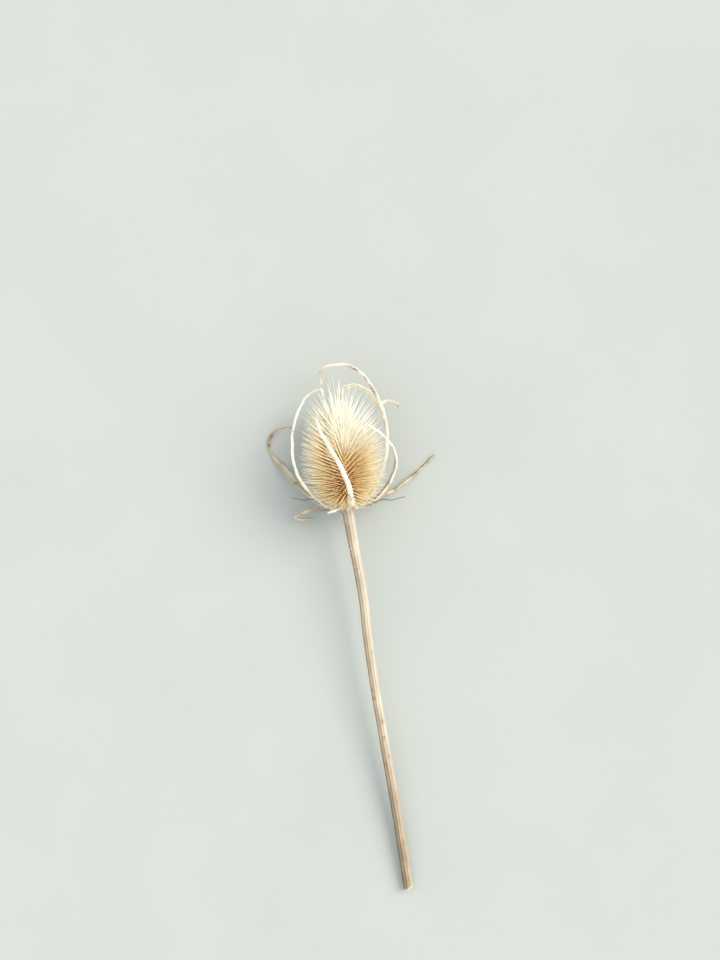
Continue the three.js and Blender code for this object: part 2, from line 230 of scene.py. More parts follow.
@dataclass
class Frames:
    """A line's points with the directions along it, to its side and out of it, and the run so far."""

    at: np.ndarray
    along: np.ndarray
    side: np.ndarray
    out: np.ndarray
    run: np.ndarray

    @staticmethod
    def of(points: np.ndarray, first_out: np.ndarray) -> Frames:
        """Carries first_out along the line, each time less its share along the line, so it never twists.

        Args:
            points: the line.
            first_out: the out direction at its first point, roughly.

        Returns:
            The frames, with side = along x out.
        """
        along = unit(np.gradient(points, axis=0))
        out = np.empty_like(along)
        latest = first_out
        for ring, way in enumerate(along):
            latest = unit(latest - way * (latest @ way))
            out[ring] = latest
        return Frames(points, along, np.cross(along, out), out, run_along(points))

    def carry(self, side: np.ndarray, out: np.ndarray) -> np.ndarray:
        """A profile carried along the line: point = at + side offset x side + out offset x out.

        Args:
            side: the offsets to the side, rings x corners.
            out: the offsets outwards, rings x corners.

        Returns:
            The points, rings x corners x 3.
        """
        offset = self.side[:, None] * side[..., None]
        return self.at[:, None] + offset + self.out[:, None] * out[..., None]


def tube(rings: np.ndarray, marks: dict[str, np.ndarray]) -> Shape:
    """Closes rings of points into a shape: quads between the rings, and a fan to the middle of each end.

    Args:
        rings: rings x corners x 3, with the corners turning clockwise as seen along the line.
        marks: values for each point, rings x corners.

    Returns:
        The closed shape, with its faces pointing outwards.
    """
    count, corners = rings.shape[:2]
    points = np.vstack([rings.reshape(-1, 3), rings[0].mean(0), rings[-1].mean(0)])
    corner = np.arange(corners)
    turned = (corner + 1) % corners
    start = np.arange(count - 1)[:, None] * corners
    here, there = (start + corner).ravel(), (start + turned).ravel()
    quads = np.stack([here, here + corners, there + corners, there], axis=1)
    first, last = len(points) - 2, len(points) - 1
    top = (count - 1) * corners
    triangles = np.vstack([
        np.stack([np.full(corners, first), corner, turned], axis=1),
        np.stack([np.full(corners, last), top + turned, top + corner], axis=1),
    ])
    values = {n: np.concatenate([v.ravel(), [v[0].mean(), v[-1].mean()]]) for n, v in marks.items()}
    return Shape(points, triangles, quads, values)


def blades(
    roots: np.ndarray,
    ways: np.ndarray,
    sides: np.ndarray,
    lengths: np.ndarray,
    section: np.ndarray,
    stations: np.ndarray,
    bend: np.ndarray,
    marks: dict[str, np.ndarray],
) -> Shape:
    """Many tapering blades at once. Blade point = root + way x distance + side x half-width x section x +
    (way x side) x half-width x section y, moved by the bend as the square of the distance, and a point at
    the tip.

    Args:
        roots: where each blade starts, blades x 3.
        ways: its direction, blades x 3.
        sides: a direction across it, blades x 3.
        lengths: its length.
        section: the corners of its section, corners x 2, in half-widths, turning clockwise as seen along
            the blade.
        stations: for each ring, its share of the length and its half-width, rings x 2 or blades x rings x
            2.
        bend: how far the tip is carried off the straight line, blades x 3.
        marks: a value for each blade, carried by all its points. "rise" is added, 0 at the root and 1 at
            the tip.

    Returns:
        The blades as one shape.
    """
    count, corners = len(roots), len(section)
    stations = np.broadcast_to(stations, (count,) + stations.shape[-2:])
    share, half = stations[..., 0], stations[..., 1]
    rings = share.shape[1]
    back = np.cross(sides, ways)
    straight = roots[:, None] + ways[:, None] * (share * lengths[:, None])[..., None]
    spine = straight + bend[:, None] * share[..., None] ** 2
    across = sides[:, None] * section[:, 0, None] + back[:, None] * section[:, 1, None]
    ringed = spine[:, :, None] + across[:, None] * half[..., None, None]
    tips = roots + ways * lengths[:, None] + bend
    points = np.concatenate([ringed.reshape(count, -1, 3), tips[:, None]], axis=1)
    per = rings * corners + 1
    corner = np.arange(corners)
    turned = (corner + 1) % corners
    step = (np.arange(rings - 1) * corners)[:, None]
    quads = [step + corner, step + corners + corner, step + corners + turned, step + turned]
    top = (rings - 1) * corners
    point_fan = np.stack([np.full(corners, per - 1), top + turned, top + corner], axis=1)
    foot_fan = np.stack([np.zeros(corners - 2, int), corner[1:-1], corner[2:]], axis=1)
    offsets = (np.arange(count) * per)[:, None, None]
    rise = np.concatenate([np.repeat(share, corners, axis=1), np.ones((count, 1))], axis=1)
    values = {name: np.repeat(value, per) for name, value in marks.items()}
    return Shape(
        points.reshape(-1, 3),
        (np.vstack([point_fan, foot_fan])[None] + offsets).reshape(-1, 3),
        (np.stack(quads, axis=-1).reshape(-1, 4)[None] + offsets).reshape(-1, 4),
        values | {"rise": rise.ravel()},
    )


def prickles(
    roots: np.ndarray, ways: np.ndarray, lengths: np.ndarray, thickness: float, hook: np.ndarray, seed: int
) -> Shape:
    """Slender five-sided thorns, broad at the root and bent a little to the hook direction.

    Args:
        roots: where they start, inside what they grow on.
        ways: the directions they grow in.
        lengths: their lengths.
        thickness: half-width at the root.
        hook: how far each tip is carried sideways.
        seed: for the value that tells one from another.

    Returns:
        The thorns as one shape.
    """
    turn = -FULL_TURN * np.arange(5) / 5
    section = np.stack([np.cos(turn), np.sin(turn)], axis=1)
    stations = np.array([[0.0, 1.0], [0.3, 0.62], [0.6, 0.3], [0.85, 0.12]]) * [1.0, thickness]
    # any direction that no thorn points in gives one across it
    across = unit(np.cross(ways, np.array([0.31, 0.17, 0.94])))
    marks = {"pick": np.random.default_rng(seed).uniform(0, 1, len(roots)), "thorn": np.ones(len(roots))}
    return blades(roots, ways, across, lengths, section, stations, hook, marks)


# Finishes

Stops = tuple[tuple[float, str], ...]

# for a Mix node of colours: its settings, its two colour inputs and its colour output
BLEND = {"data_type": "RGBA"}
MULTIPLY = {"data_type": "RGBA", "blend_type": "MULTIPLY"}
UNDER, OVER, MIXED = 6, 7, 2


def linear(code: str) -> tuple[float, float, float, float]:
    """A colour as linear RGBA, from its sRGB hex code."""
    shares = [int(code[k : k + 2], 16) / 255 for k in (1, 3, 5)]
    return (*[s / 12.92 if s <= 0.04045 else ((s + 0.055) / 1.055) ** 2.4 for s in shares], 1.0)


def add(
    tree: bpy.types.NodeTree, kind: str, inputs: dict | None = None, stops: Stops = (), **settings: object
) -> bpy.types.Node:
    """Adds a node.

    Args:
        tree: the material's or world's node tree.
        kind: the node's type name, without its ShaderNode start.
        inputs: socket name or number to a value, a hex colour or another node's output socket.
        stops: for a colour ramp, its places with their hex colours, from low to high.
        settings: the node's own properties.

    Returns:
        The new node.
    """
    made = tree.nodes.new("ShaderNode" + kind)
    for name, value in settings.items():
        setattr(made, name, value)
    for place, _ in stops[2:]:
        made.color_ramp.elements.new(place)
    for element, (place, code) in zip(made.color_ramp.elements if stops else (), stops):
        element.position, element.color = place, linear(code)
    for name, value in (inputs or {}).items():
        if isinstance(value, bpy.types.NodeSocket):
            tree.links.new(value, made.inputs[name])
        else:
            made.inputs[name].default_value = linear(value) if isinstance(value, str) else value
    return made


def per_metre(size: float) -> float:
    """A pattern's scale, from the size of its grain in millimetres."""
    return 1 / (size * MM)


@dataclass(frozen=True)
class Finish:
    """A finish in one colour pattern, one roughness and one relief. Lengths in millimetres."""

    name: str
    roughness: float
    gloss: float
    relief: float
    ior: float = 1.45
    glow: float = 0.0
    glow_depth: float = 0.6

    def colour(self, tree: bpy.types.NodeTree, place: bpy.types.NodeSocket) -> bpy.types.NodeSocket:
        """The colour over the surface, from the Object coordinate and the piece's marks."""
        raise NotImplementedError

    def height(self, tree: bpy.types.NodeTree, place: bpy.types.NodeSocket) -> bpy.types.NodeSocket:
        """The relief's pattern, from the Object coordinate or the piece's marks."""
        raise NotImplementedError

    def material(self) -> bpy.types.Material:
        """Makes the finish's shader.

        Returns:
            The finish as a material.
        """
        made = bpy.data.materials.new(self.name)
        made.use_nodes = True
        tree = made.node_tree
        tree.nodes.clear()
        place = add(tree, "TexCoord").outputs["Object"]
        pattern = self.height(tree, place)
        bump = add(tree, "Bump", {"Height": pattern, "Distance": self.relief * MM, "Strength": 1.0})
        sockets = {
            "Base Color": self.colour(tree, place),
            "Normal": bump.outputs[0],
            "Roughness": self.roughness,
            "IOR": self.ior,
            "Specular IOR Level": self.gloss,
            "Subsurface Weight": self.glow,
            "Subsurface Scale": self.glow_depth * MM,
        }
        shader = add(tree, "BsdfPrincipled", sockets)
        add(tree, "OutputMaterial", {"Surface": shader.outputs[0]})
        return made


@dataclass(frozen=True)
class DryScale(Finish):
    """Lignified palea, dried and bleached: a hard, straw-like scale, brown where it leaves the core, which is
    partly its own colour and partly painted shade of the gaps between the scales, gold along its keel and
    nearly white in its awn, and paler on the side towards the sun, which is painted light, a little
    see-through, so that the sun makes it glow. Its grain is drawn coarser than the real fibre, so that it
    shows."""

    name: str = "dried_teasel_palea"
    roughness: float = 0.55
    gloss: float = 0.35
    relief: float = 0.06
    glow: float = 0.15
    grain: float = 0.4
    # the ramp low on the head and on the side away from the sun; its brown root is partly painted shade of
    # the gaps between the scales
    golden: Stops = (
        (0.0, "#b08a50"), (0.15, "#debf85"), (0.32, "#f5dfad"), (0.6, "#fbefd0"), (1.0, "#fdf9ee"),
    )
    # the ramp for the crown and, as painted light, for the side towards the sun
    pale: Stops = (
        (0.0, "#dad0bc"), (0.15, "#ebe6da"), (0.32, "#f5f3ec"), (0.6, "#f9f9f6"), (1.0, "#fbfbf9"),
    )
    tones: Stops = ((0.0, "#ebe2ca"), (0.4, "#fbf7ec"), (1.0, "#ffffff"))
    toned: float = 0.8

    def colour(self, tree: bpy.types.NodeTree, place: bpy.types.NodeSocket) -> bpy.types.NodeSocket:
        """Brown to gold to cream along the scale by the mark "rise", paler towards the crown and, as painted
        light, on the side towards the sun, by its mark of bleaching and painted light, and each scale a
        little lighter or darker than the next by "pick".

        Args:
            tree: the material's nodes.
            place: the Object coordinate; not used.

        Returns:
            The colour's socket.
        """
        rise, pick, bleach = (
            add(tree, "Attribute", attribute_name=name).outputs["Fac"] for name in ("rise", "pick", "bleach")
        )
        golden = add(tree, "ValToRGB", {"Fac": rise}, self.golden).outputs["Color"]
        pale = add(tree, "ValToRGB", {"Fac": rise}, self.pale).outputs["Color"]
        # painted light: paler on the side towards the sun, as well as towards the crown
        share = add(tree, "MapRange", {"Value": bleach, "From Min": 0.45, "From Max": 0.8}).outputs[0]
        ramp = add(tree, "Mix", {"Factor": share, UNDER: golden, OVER: pale}, **BLEND).outputs[MIXED]
        tone = add(tree, "ValToRGB", {"Fac": pick}, self.tones).outputs["Color"]
        return add(tree, "Mix", {"Factor": self.toned, UNDER: ramp, OVER: tone}, **MULTIPLY).outputs[MIXED]

    def height(self, tree: bpy.types.NodeTree, place: bpy.types.NodeSocket) -> bpy.types.NodeSocket:
        """The grain of the fibre."""
        grain = {"Vector": place, "Scale": per_metre(self.grain), "Detail": 2.0}
        return add(tree, "TexNoise", grain).outputs["Fac"]


@dataclass(frozen=True)
class BleachedBract(Finish):
    """Bract blade, sun-bleached on the plant: off-white, with fine lengthwise veins, khaki as painted shade
    on its inner side, which faces down, and at its root by the head, and brown where it was bruised or bent,
    and wrinkled as a dried blade is."""

    name: str = "bleached_bract"
    roughness: float = 0.6
    gloss: float = 0.4
    relief: float = 0.22
    glow: float = 0.08
    wrinkle: float = 0.909
    mottle: float = 3.846
    speck: float = 1.111
    veins: float = 4.5
    vein_depth: float = 0.22
    cloudy: float = 0.55
    tans: Stops = (
        (0.0, "#f4efd9"), (0.13, "#dbd7ca"), (0.43, "#c6bfaa"), (0.74, "#a89e87"), (1.0, "#665e55"),
    )
    clouds: Stops = ((0.3, "#ded2b8"), (0.56, "#ffffff"))
    vein: str = "#c9ba98"
    bruise: str = "#6b4e36"

    def colour(self, tree: bpy.types.NodeTree, place: bpy.types.NodeSocket) -> bpy.types.NodeSocket:
        """White to brown by the mark "tan", veined by the cosine of "across", clouded, and bruised by
        "stain".

        Args:
            tree: the material's nodes.
            place: the Object coordinate.

        Returns:
            The colour's socket.
        """
        tan, stain, across = (
            add(tree, "Attribute", attribute_name=name).outputs["Fac"] for name in ("tan", "stain", "across")
        )
        mottle = {"Vector": place, "Scale": per_metre(self.mottle), "Detail": 5.0, "Roughness": 0.6}
        mottle = add(tree, "TexNoise", mottle).outputs["Fac"]
        speck = {"Vector": place, "Scale": per_metre(self.speck), "Detail": 3.0}
        speck = add(tree, "TexNoise", speck).outputs["Fac"]
        tan = add(tree, "MapRange", {"Value": tan, "From Min": PALEST, "From Max": 1.0}).outputs[0]
        base = add(tree, "ValToRGB", {"Fac": tan}, self.tans).outputs["Color"]
        turns = add(tree, "Math", {0: across, 1: FULL_TURN * self.veins}, operation="MULTIPLY").outputs[0]
        wave = add(tree, "Math", {0: turns}, operation="COSINE").outputs[0]
        line = {"Value": wave, "From Min": -1.0, "From Max": 1.0, "To Min": 0.0, "To Max": self.vein_depth}
        line = add(tree, "MapRange", line).outputs[0]
        veined = add(tree, "Mix", {"Factor": line, UNDER: base, OVER: self.vein}, **BLEND).outputs[MIXED]
        cloud = add(tree, "ValToRGB", {"Fac": mottle}, self.clouds).outputs["Color"]
        clouded = {"Factor": self.cloudy, UNDER: veined, OVER: cloud}
        clouded = add(tree, "Mix", clouded, **MULTIPLY).outputs[MIXED]
        patch = {"Value": speck, "From Min": 0.35, "From Max": 0.6, "To Min": 0.45, "To Max": 1.0}
        patch = add(tree, "MapRange", patch).outputs[0]
        spoilt = add(tree, "Math", {0: stain, 1: patch}, operation="MULTIPLY", use_clamp=True).outputs[0]
        return add(tree, "Mix", {"Factor": spoilt, UNDER: clouded, OVER: self.bruise}, **BLEND).outputs[MIXED]

    def height(self, tree: bpy.types.NodeTree, place: bpy.types.NodeSocket) -> bpy.types.NodeSocket:
        """The wrinkles."""
        wrinkles = {"Vector": place, "Scale": per_metre(self.wrinkle), "Detail": 4.0, "Roughness": 0.6}
        return add(tree, "TexNoise", wrinkles).outputs["Fac"]


@dataclass(frozen=True)
class RibbedRind(Finish):
    """Stem rind, weathered and bleached: pale ribs over tan furrows, much paler on the side towards the sun
    and browner on the side away from it, which is painted light and shade, with long fibre streaks and a few
    brown spots, and white pith at the cut. Streaks and fibres are given as width and length."""

    name: str = "weathered_stem_rind"
    roughness: float = 0.68
    gloss: float = 0.3
    relief: float = 0.18
    girth: float = 17.6
    streak: tuple[float, float] = (0.4, 15.385)
    fibre: tuple[float, float] = (0.33846, 9.091)
    bloom: float = 11.111
    streaky: float = 0.5
    bloomy: float = 0.6
    # brown for the side away from the sun to cream for the side towards it, which is painted light and shade,
    # and paler on the ribs
    tans: Stops = ((0.0, "#756753"), (0.35, "#948773"), (0.7, "#b3aa98"), (1.0, "#cac6bb"))
    streaks: Stops = ((0.3, "#cdbba2"), (0.6, "#ffffff"))
    blooms: Stops = ((0.35, "#e9dfd2"), (0.62, "#ffffff"))
    spot: str = "#7d5a36"
    pith: str = "#efe7d2"

    def spread(self, tree: bpy.types.NodeTree, grain: tuple[float, float]) -> bpy.types.NodeSocket:
        """The rind spread flat by the marks "across", which is 1 once round, and "along", which is in
        millimetres.

        Args:
            tree: the material's nodes.
            grain: the width and length that become 1 by 1.

        Returns:
            The coordinate's socket.
        """
        across, along = (add(tree, "Attribute", attribute_name=n).outputs["Fac"] for n in ("across", "along"))
        flat = add(tree, "CombineXYZ", {"X": across, "Y": along}).outputs[0]
        scale = (self.girth / grain[0], 1 / grain[1], 1.0)
        return add(tree, "Mapping", {"Vector": flat, "Scale": scale}).outputs[0]

    def colour(self, tree: bpy.types.NodeTree, place: bpy.types.NodeSocket) -> bpy.types.NodeSocket:
        """Brown to cream by the mark "ridge", which carries the paler ribs and the painted light and shade of
        the stem's sides, streaked along the stem, clouded, with brown spots by "stain" and pith by "pith".

        Args:
            tree: the material's nodes.
            place: the Object coordinate.

        Returns:
            The colour's socket.
        """
        ridge, stain, pith = (
            add(tree, "Attribute", attribute_name=name).outputs["Fac"] for name in ("ridge", "stain", "pith")
        )
        base = add(tree, "ValToRGB", {"Fac": ridge}, self.tans).outputs["Color"]
        streak = {"Vector": self.spread(tree, self.streak), "Scale": 1.0, "Detail": 3.0, "Roughness": 0.65}
        streak = add(tree, "TexNoise", streak).outputs["Fac"]
        streak = add(tree, "ValToRGB", {"Fac": streak}, self.streaks).outputs["Color"]
        streaked = {"Factor": self.streaky, UNDER: base, OVER: streak}
        streaked = add(tree, "Mix", streaked, **MULTIPLY).outputs[MIXED]
        bloom = add(tree, "TexNoise", {"Vector": place, "Scale": per_metre(self.bloom), "Detail": 4.0})
        bloom = add(tree, "ValToRGB", {"Fac": bloom.outputs["Fac"]}, self.blooms).outputs["Color"]
        cloudy = {"Factor": self.bloomy, UNDER: streaked, OVER: bloom}
        cloudy = add(tree, "Mix", cloudy, **MULTIPLY).outputs[MIXED]
        spotted = add(tree, "Mix", {"Factor": stain, UNDER: cloudy, OVER: self.spot}, **BLEND).outputs[MIXED]
        return add(tree, "Mix", {"Factor": pith, UNDER: spotted, OVER: self.pith}, **BLEND).outputs[MIXED]

    def height(self, tree: bpy.types.NodeTree, place: bpy.types.NodeSocket) -> bpy.types.NodeSocket:
        """The fibres along the stem."""
        fibres = {"Vector": self.spread(tree, self.fibre), "Scale": 1.0, "Detail": 3.0}
        return add(tree, "TexNoise", fibres).outputs["Fac"]


@dataclass(frozen=True)
class WoodyCore(Finish):
    """Receptacle: woody, rough and pitted, brown between the scales, darkened to the colour of the shade in
    the gaps, which is partly its own colour and partly painted shade, and paler on the side towards the sun,
    which is painted light.
    """

    name: str = "woody_receptacle"
    roughness: float = 0.8
    gloss: float = 0.2
    relief: float = 0.4
    patch: float = 2.0
    pit: float = 1.5385
    # browns darkened to the colour of the shade in the gaps between the scales: partly the core's own colour,
    # partly painted shade
    browns_and_painted_shade: Stops = ((0.3, "#74502a"), (0.7, "#b5874e"))
    # the pale colour for the crown and, as painted light, for the side towards the sun
    bleached: str = "#d6ccb4"

    def colour(self, tree: bpy.types.NodeTree, place: bpy.types.NodeSocket) -> bpy.types.NodeSocket:
        """Brown in patches, and paler towards the crown and, as painted light, on the side towards the sun,
        by its mark of bleaching and painted light.

        Args:
            tree: the material's nodes.
            place: the Object coordinate.

        Returns:
            The colour's socket.
        """
        noise = {"Vector": place, "Scale": per_metre(self.patch), "Detail": 4.0}
        noise = add(tree, "TexNoise", noise).outputs["Fac"]
        brown = add(tree, "ValToRGB", {"Fac": noise}, self.browns_and_painted_shade).outputs["Color"]
        bleach = add(tree, "Attribute", attribute_name="bleach").outputs["Fac"]
        # painted light: paler on the side towards the sun, as well as towards the crown
        share = add(tree, "MapRange", {"Value": bleach, "From Min": 0.45, "From Max": 0.9}).outputs[0]
        return add(tree, "Mix", {"Factor": share, UNDER: brown, OVER: self.bleached}, **BLEND).outputs[MIXED]

    def height(self, tree: bpy.types.NodeTree, place: bpy.types.NodeSocket) -> bpy.types.NodeSocket:
        """The pits."""
        return add(tree, "TexVoronoi", {"Vector": place, "Scale": per_metre(self.pit)}).outputs["Distance"]


@dataclass(frozen=True)
class PaintedBoard(Finish):
    """The stage: a board with matt emulsion, rolled on, cool pale grey, with clouds that are barely there."""

    name: str = "matt_painted_board"
    roughness: float = 0.85
    gloss: float = 0.2
    relief: float = 0.05
    cloud: float = 83.333
    stipple: float = 2.0
    greys: Stops = ((0.3, "#9ca19e"), (0.7, "#9fa4a0"))

    def colour(self, tree: bpy.types.NodeTree, place: bpy.types.NodeSocket) -> bpy.types.NodeSocket:
        """Two greys that are nearly one, in clouds."""
        noise = add(tree, "TexNoise", {"Vector": place, "Scale": per_metre(self.cloud), "Detail": 3.0})
        return add(tree, "ValToRGB", {"Fac": noise.outputs["Fac"]}, self.greys).outputs["Color"]

    def height(self, tree: bpy.types.NodeTree, place: bpy.types.NodeSocket) -> bpy.types.NodeSocket:
        """The roller's stipple."""
        stipple = {"Vector": place, "Scale": per_metre(self.stipple), "Detail": 2.0}
        return add(tree, "TexNoise", stipple).outputs["Fac"]


# The bracts


@dataclass(frozen=True)
class Stain:
    """A brown patch on a bract: its share of the way along, how far it reaches, its strength, and the
    margin it keeps to, 1 or -1, or 0 for the whole width."""

    at: float
    reach: float
    strength: float
    margin: int = 0


class Taper(Enum):
    """Share of the full width along a bract: even and long, or broad to its middle."""

    EVEN = ((0, 0.62), (0.12, 1), (0.35, 0.9), (0.65, 0.8), (0.88, 0.58), (0.975, 0.3), (1, 0.05))
    BROAD_HALF = ((0, 0.62), (0.12, 1), (0.5, 0.9), (0.64, 0.5), (0.9, 0.38), (0.975, 0.2), (1, 0.04))


@dataclass
class Bract:
    """One bract of the ruff: a long keeled blade with thin margins and a channel inside, and prickles on
    its keel and margins. `tan` is how tan it is, from PALEST to 1. Lengths in millimetres, angles in
    degrees."""

    name: str
    azimuth: float
    width: float
    path: list[tuple[float, float, float]]
    tan: float
    thorns: int
    tip_tan: float | None = None
    # painted shade: how much more tan the inner side, which faces down, is
    inner_painted_shade: float = 0.22
    # how far from the root the painted shade at the foot reaches
    foot_shade_run: float = 22.0
    stains: tuple[Stain, ...] = ()
    taper: Taper = Taper.EVEN
    fold: float = 1.0
    roll: float = 0.0
    pass_drop: float = -2.4
    # the same for every bract: its root, where it passes the lowest scales, its section and its unevenness
    root_reach: float = 7.1
    root_drop: float = -1.9
    pass_reach: float = 12.5
    roll_from: float = 10.0
    roll_over: float = 25.0
    fold_depth: float = 2.3
    shallowest: float = 0.55
    trough: float = -0.32
    keel: float = 0.82
    channel: float = 0.2
    wobble: float = 0.22
    wobble_waves: tuple[float, float] = (16.0, 13.0)
    width_wobble: float = 0.09
    width_wave: float = 9.0
    margin_curl: float = 0.125
    curl_wave: float = 21.0
    root_ease: float = 12.0
    tip_ease: float = 4.0
    point_ease: float = 2.0
    # the painted shade at the root by the head: how much more tan, and how fast it fades
    foot_painted_shade: float = 0.42
    foot_shade_ease: float = 10.0
    end_tan: float = 0.2
    patchy_tan: float = 0.07
    patch_wave: float = 12.0
    thorn_half_width: float = 0.3
    table_clear: float = 3.0
    ring_spacing: float = 0.7
    fewest_rings: int = 12
    corners: int = 24

    def frames(self, spacing: float) -> Frames:
        """The line of the blade, from its root on the collar below the head. Its side and its out direction
        turn round it, from roll_from on, until they have turned by the roll.

        Args:
            spacing: how far apart the rings are.

        Returns:
            The line with its directions.
        """
        turn = math.radians(self.azimuth)
        around = np.array([math.cos(turn), 0.0, math.sin(turn)])
        foot = ((self.root_reach, self.root_drop), (self.pass_reach, self.pass_drop))
        start = LIE.from_head(np.array([around * reach + [0, drop, 0] for reach, drop in foot]))
        knots = np.vstack([start, np.array(self.path, float)])
        length = run_along(smooth_line(knots, count=200))[-1]
        line = smooth_line(knots, max(self.fewest_rings, round(length / spacing)))
        frames = Frames.of(line, LIE.head_turn() @ np.array([0.0, -1.0, 0.0]))
        turned = np.clip((frames.run - self.roll_from) / self.roll_over, 0, 1)[:, None]
        roll = math.radians(self.roll) * turned
        side, out = frames.side, frames.out
        frames.side = side * np.cos(roll) - out * np.sin(roll)
        frames.out = out * np.cos(roll) + side * np.sin(roll)
        return frames

    def seed(self) -> int:
        """A number of the bract's own, from the letters of its name."""
        return sum(ord(letter) * (k + 3) for k, letter in enumerate(self.name))

    def share(self, run: np.ndarray) -> np.ndarray:
        """Share of the full width along the run."""
        knots = np.array(self.taper.value)
        return np.interp(run / run[-1], knots[:, 0], knots[:, 1])

    def depth(self, share: np.ndarray) -> np.ndarray:
        """From keel to margin, where the blade has this share of its width."""
        return self.fold_depth * self.fold * (0.6 + 0.1 * self.width) * np.maximum(share, self.shallowest)

    def reaches(self) -> tuple[np.ndarray, np.ndarray]:
        """What the scales keep clear of.

        Returns:
            Places along the blade, and how far its margins or its keel reach there.
        """
        frames = self.frames(spacing=0.8)
        share = self.share(frames.run)
        return frames.at, 0.5 * np.maximum(self.width * share, self.depth(share))

    def blade(self) -> Shape:
        """The blade: its outer side is a keel, y = trough + keel (1 - |2x|)^0.62, and its inner side is a
        channel, y = trough + channel (1 - |2x|)^0.8, with x in widths and y in depths of the fold. The line
        wobbles, the width wavers and the margins curl in and out as it goes.

        Returns:
            The blade, with the marks "across", "tan" and "stain".
        """
        frames = self.frames(self.ring_spacing)
        seed, run = self.seed(), frames.run
        left = run[-1] - run
        ease = self.wobble * np.clip(run / self.root_ease, 0, 1) * np.clip(left / self.tip_ease, 0.3, 1)
        sideways = frames.side * (ease * wander(run, seed, self.wobble_waves[0]))[:, None]
        outwards = frames.out * (ease * wander(run, seed + 1, self.wobble_waves[1]))[:, None]
        frames.at = frames.at + sideways + outwards
        share = self.share(run) * (1 + self.width_wobble * wander(run, seed + 2, self.width_wave))
        turn = FULL_TURN * np.arange(self.corners) / self.corners
        x = 0.5 * np.sin(turn)
        inwards = 1 - np.abs(2 * x)
        y = self.trough + np.where(np.cos(turn) >= 0, self.keel * inwards**0.62, self.channel * inwards**0.8)
        curl = self.margin_curl * wander(run, seed + 3, self.curl_wave)[:, None] * (2 * x) ** 2
        depth = self.depth(share) * np.clip(left / self.point_ease, 0.1, 1)
        side = self.width * share[:, None] * x
        marks = {
            "across": np.broadcast_to(x, side.shape),
            "tan": self.tone(run, np.cos(turn)),
            "stain": self.stained(run, x),
        }
        return tube(frames.carry(side, depth[:, None] * (y + curl)), marks)

    def tone(self, run: np.ndarray, facing: np.ndarray) -> np.ndarray:
        """How tan the blade is: more at its tip, and patchy, and, as painted shade, more at its root by the
        head and on its inner side. It goes over to the tip's own tan between 0.45 and 0.65 of its length.

        Args:
            run: the distance along the blade at each ring.
            facing: for each corner, above 0 on the outer side and below 0 on the inner.

        Returns:
            The tan, rings x corners.
        """
        share = (run / run[-1])[:, None]
        # painted shade: more tan at the root by the head and on the inner side
        foot = self.foot_painted_shade * np.clip((self.foot_shade_run - run) / self.foot_shade_ease, 0, 1)[:, None]
        end = self.end_tan * bell(share, 1, 0.05)
        inner = self.inner_painted_shade * (facing < 0)
        patchy = self.patchy_tan * wander(run, self.seed() + 5, self.patch_wave)[:, None]
        tip_tan = self.tan if self.tip_tan is None else self.tip_tan
        base = self.tan + (tip_tan - self.tan) * np.clip((share - 0.45) / 0.2, 0, 1)
        return np.clip(base + foot + end + inner + patchy, PALEST, 1)

    def stained(self, run: np.ndarray, x: np.ndarray) -> np.ndarray:
        """How brown the blade is: a bell curve round each stain, which fades out past the middle of the
        blade if the stain keeps to a margin.

        Args:
            run: the distance along the blade at each ring.
            x: the place across the blade of each corner, in widths.

        Returns:
            The brown, rings x corners.
        """
        share = (run / run[-1])[:, None]
        total = np.zeros((len(run), len(x)))
        for stain in self.stains:
            side = np.clip(5 * (stain.margin * x - 0.08), 0, 1) if stain.margin else 1.0
            total = total + stain.strength * bell(share, stain.at, stain.reach) * side
        return np.clip(total, 0, 1)

    def thorn_row(self) -> Shape:
        """The prickles: on the keel, on one margin and on the other in turn, slanting towards the tip.
        Those that would stand near the table are left out.

        Returns:
            The prickles as one shape.
        """
        frames = self.frames(spacing=0.4)
        rng = np.random.default_rng(self.seed() + 11)
        place = np.sort(rng.uniform(0.1, 0.93, self.thorns))
        ring = np.round(place * (len(frames.run) - 1)).astype(int)
        ring = ring[frames.at[ring, 2] > self.table_clear]
        kind = np.arange(len(ring)) % 3
        on_keel, sign = kind == 0, np.where(kind == 1, 1.0, -1.0)[:, None]
        margin = sign * frames.side[ring] + 0.25 * frames.out[ring]
        out = unit(np.where(on_keel[:, None], frames.out[ring], margin))
        share = self.share(frames.run)[ring]
        roots = frames.at[ring] + out * np.where(on_keel, 0.1, 0.3 * self.width * share)[:, None]
        lengths = rng.uniform(1.1, 2.0, len(ring)) * np.clip(0.5 + share, 0.6, 1.2)
        along = frames.along[ring]
        ways = unit(out + 0.45 * along + rng.normal(0, 0.12, (len(ring), 3)))
        hook = 0.25 * along * lengths[:, None]
        made = prickles(roots, ways, lengths, self.thorn_half_width, hook, self.seed())
        made.marks["tan"] = np.full(len(made.points), min(1.0, self.tan + 0.12))
        return made

    def build(self, material: bpy.types.Material) -> bpy.types.Object:
        """Makes the bract in the place of its CAD node.

        Args:
            material: the blade's.

        Returns:
            The piece, riding on the body.
        """
        shapes = [self.blade()] + ([self.thorn_row()] if self.thorns else [])
        piece = Shape.joined(shapes).made(self.name + "_blade", material)
        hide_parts(self.name)
        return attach(piece, BODY)


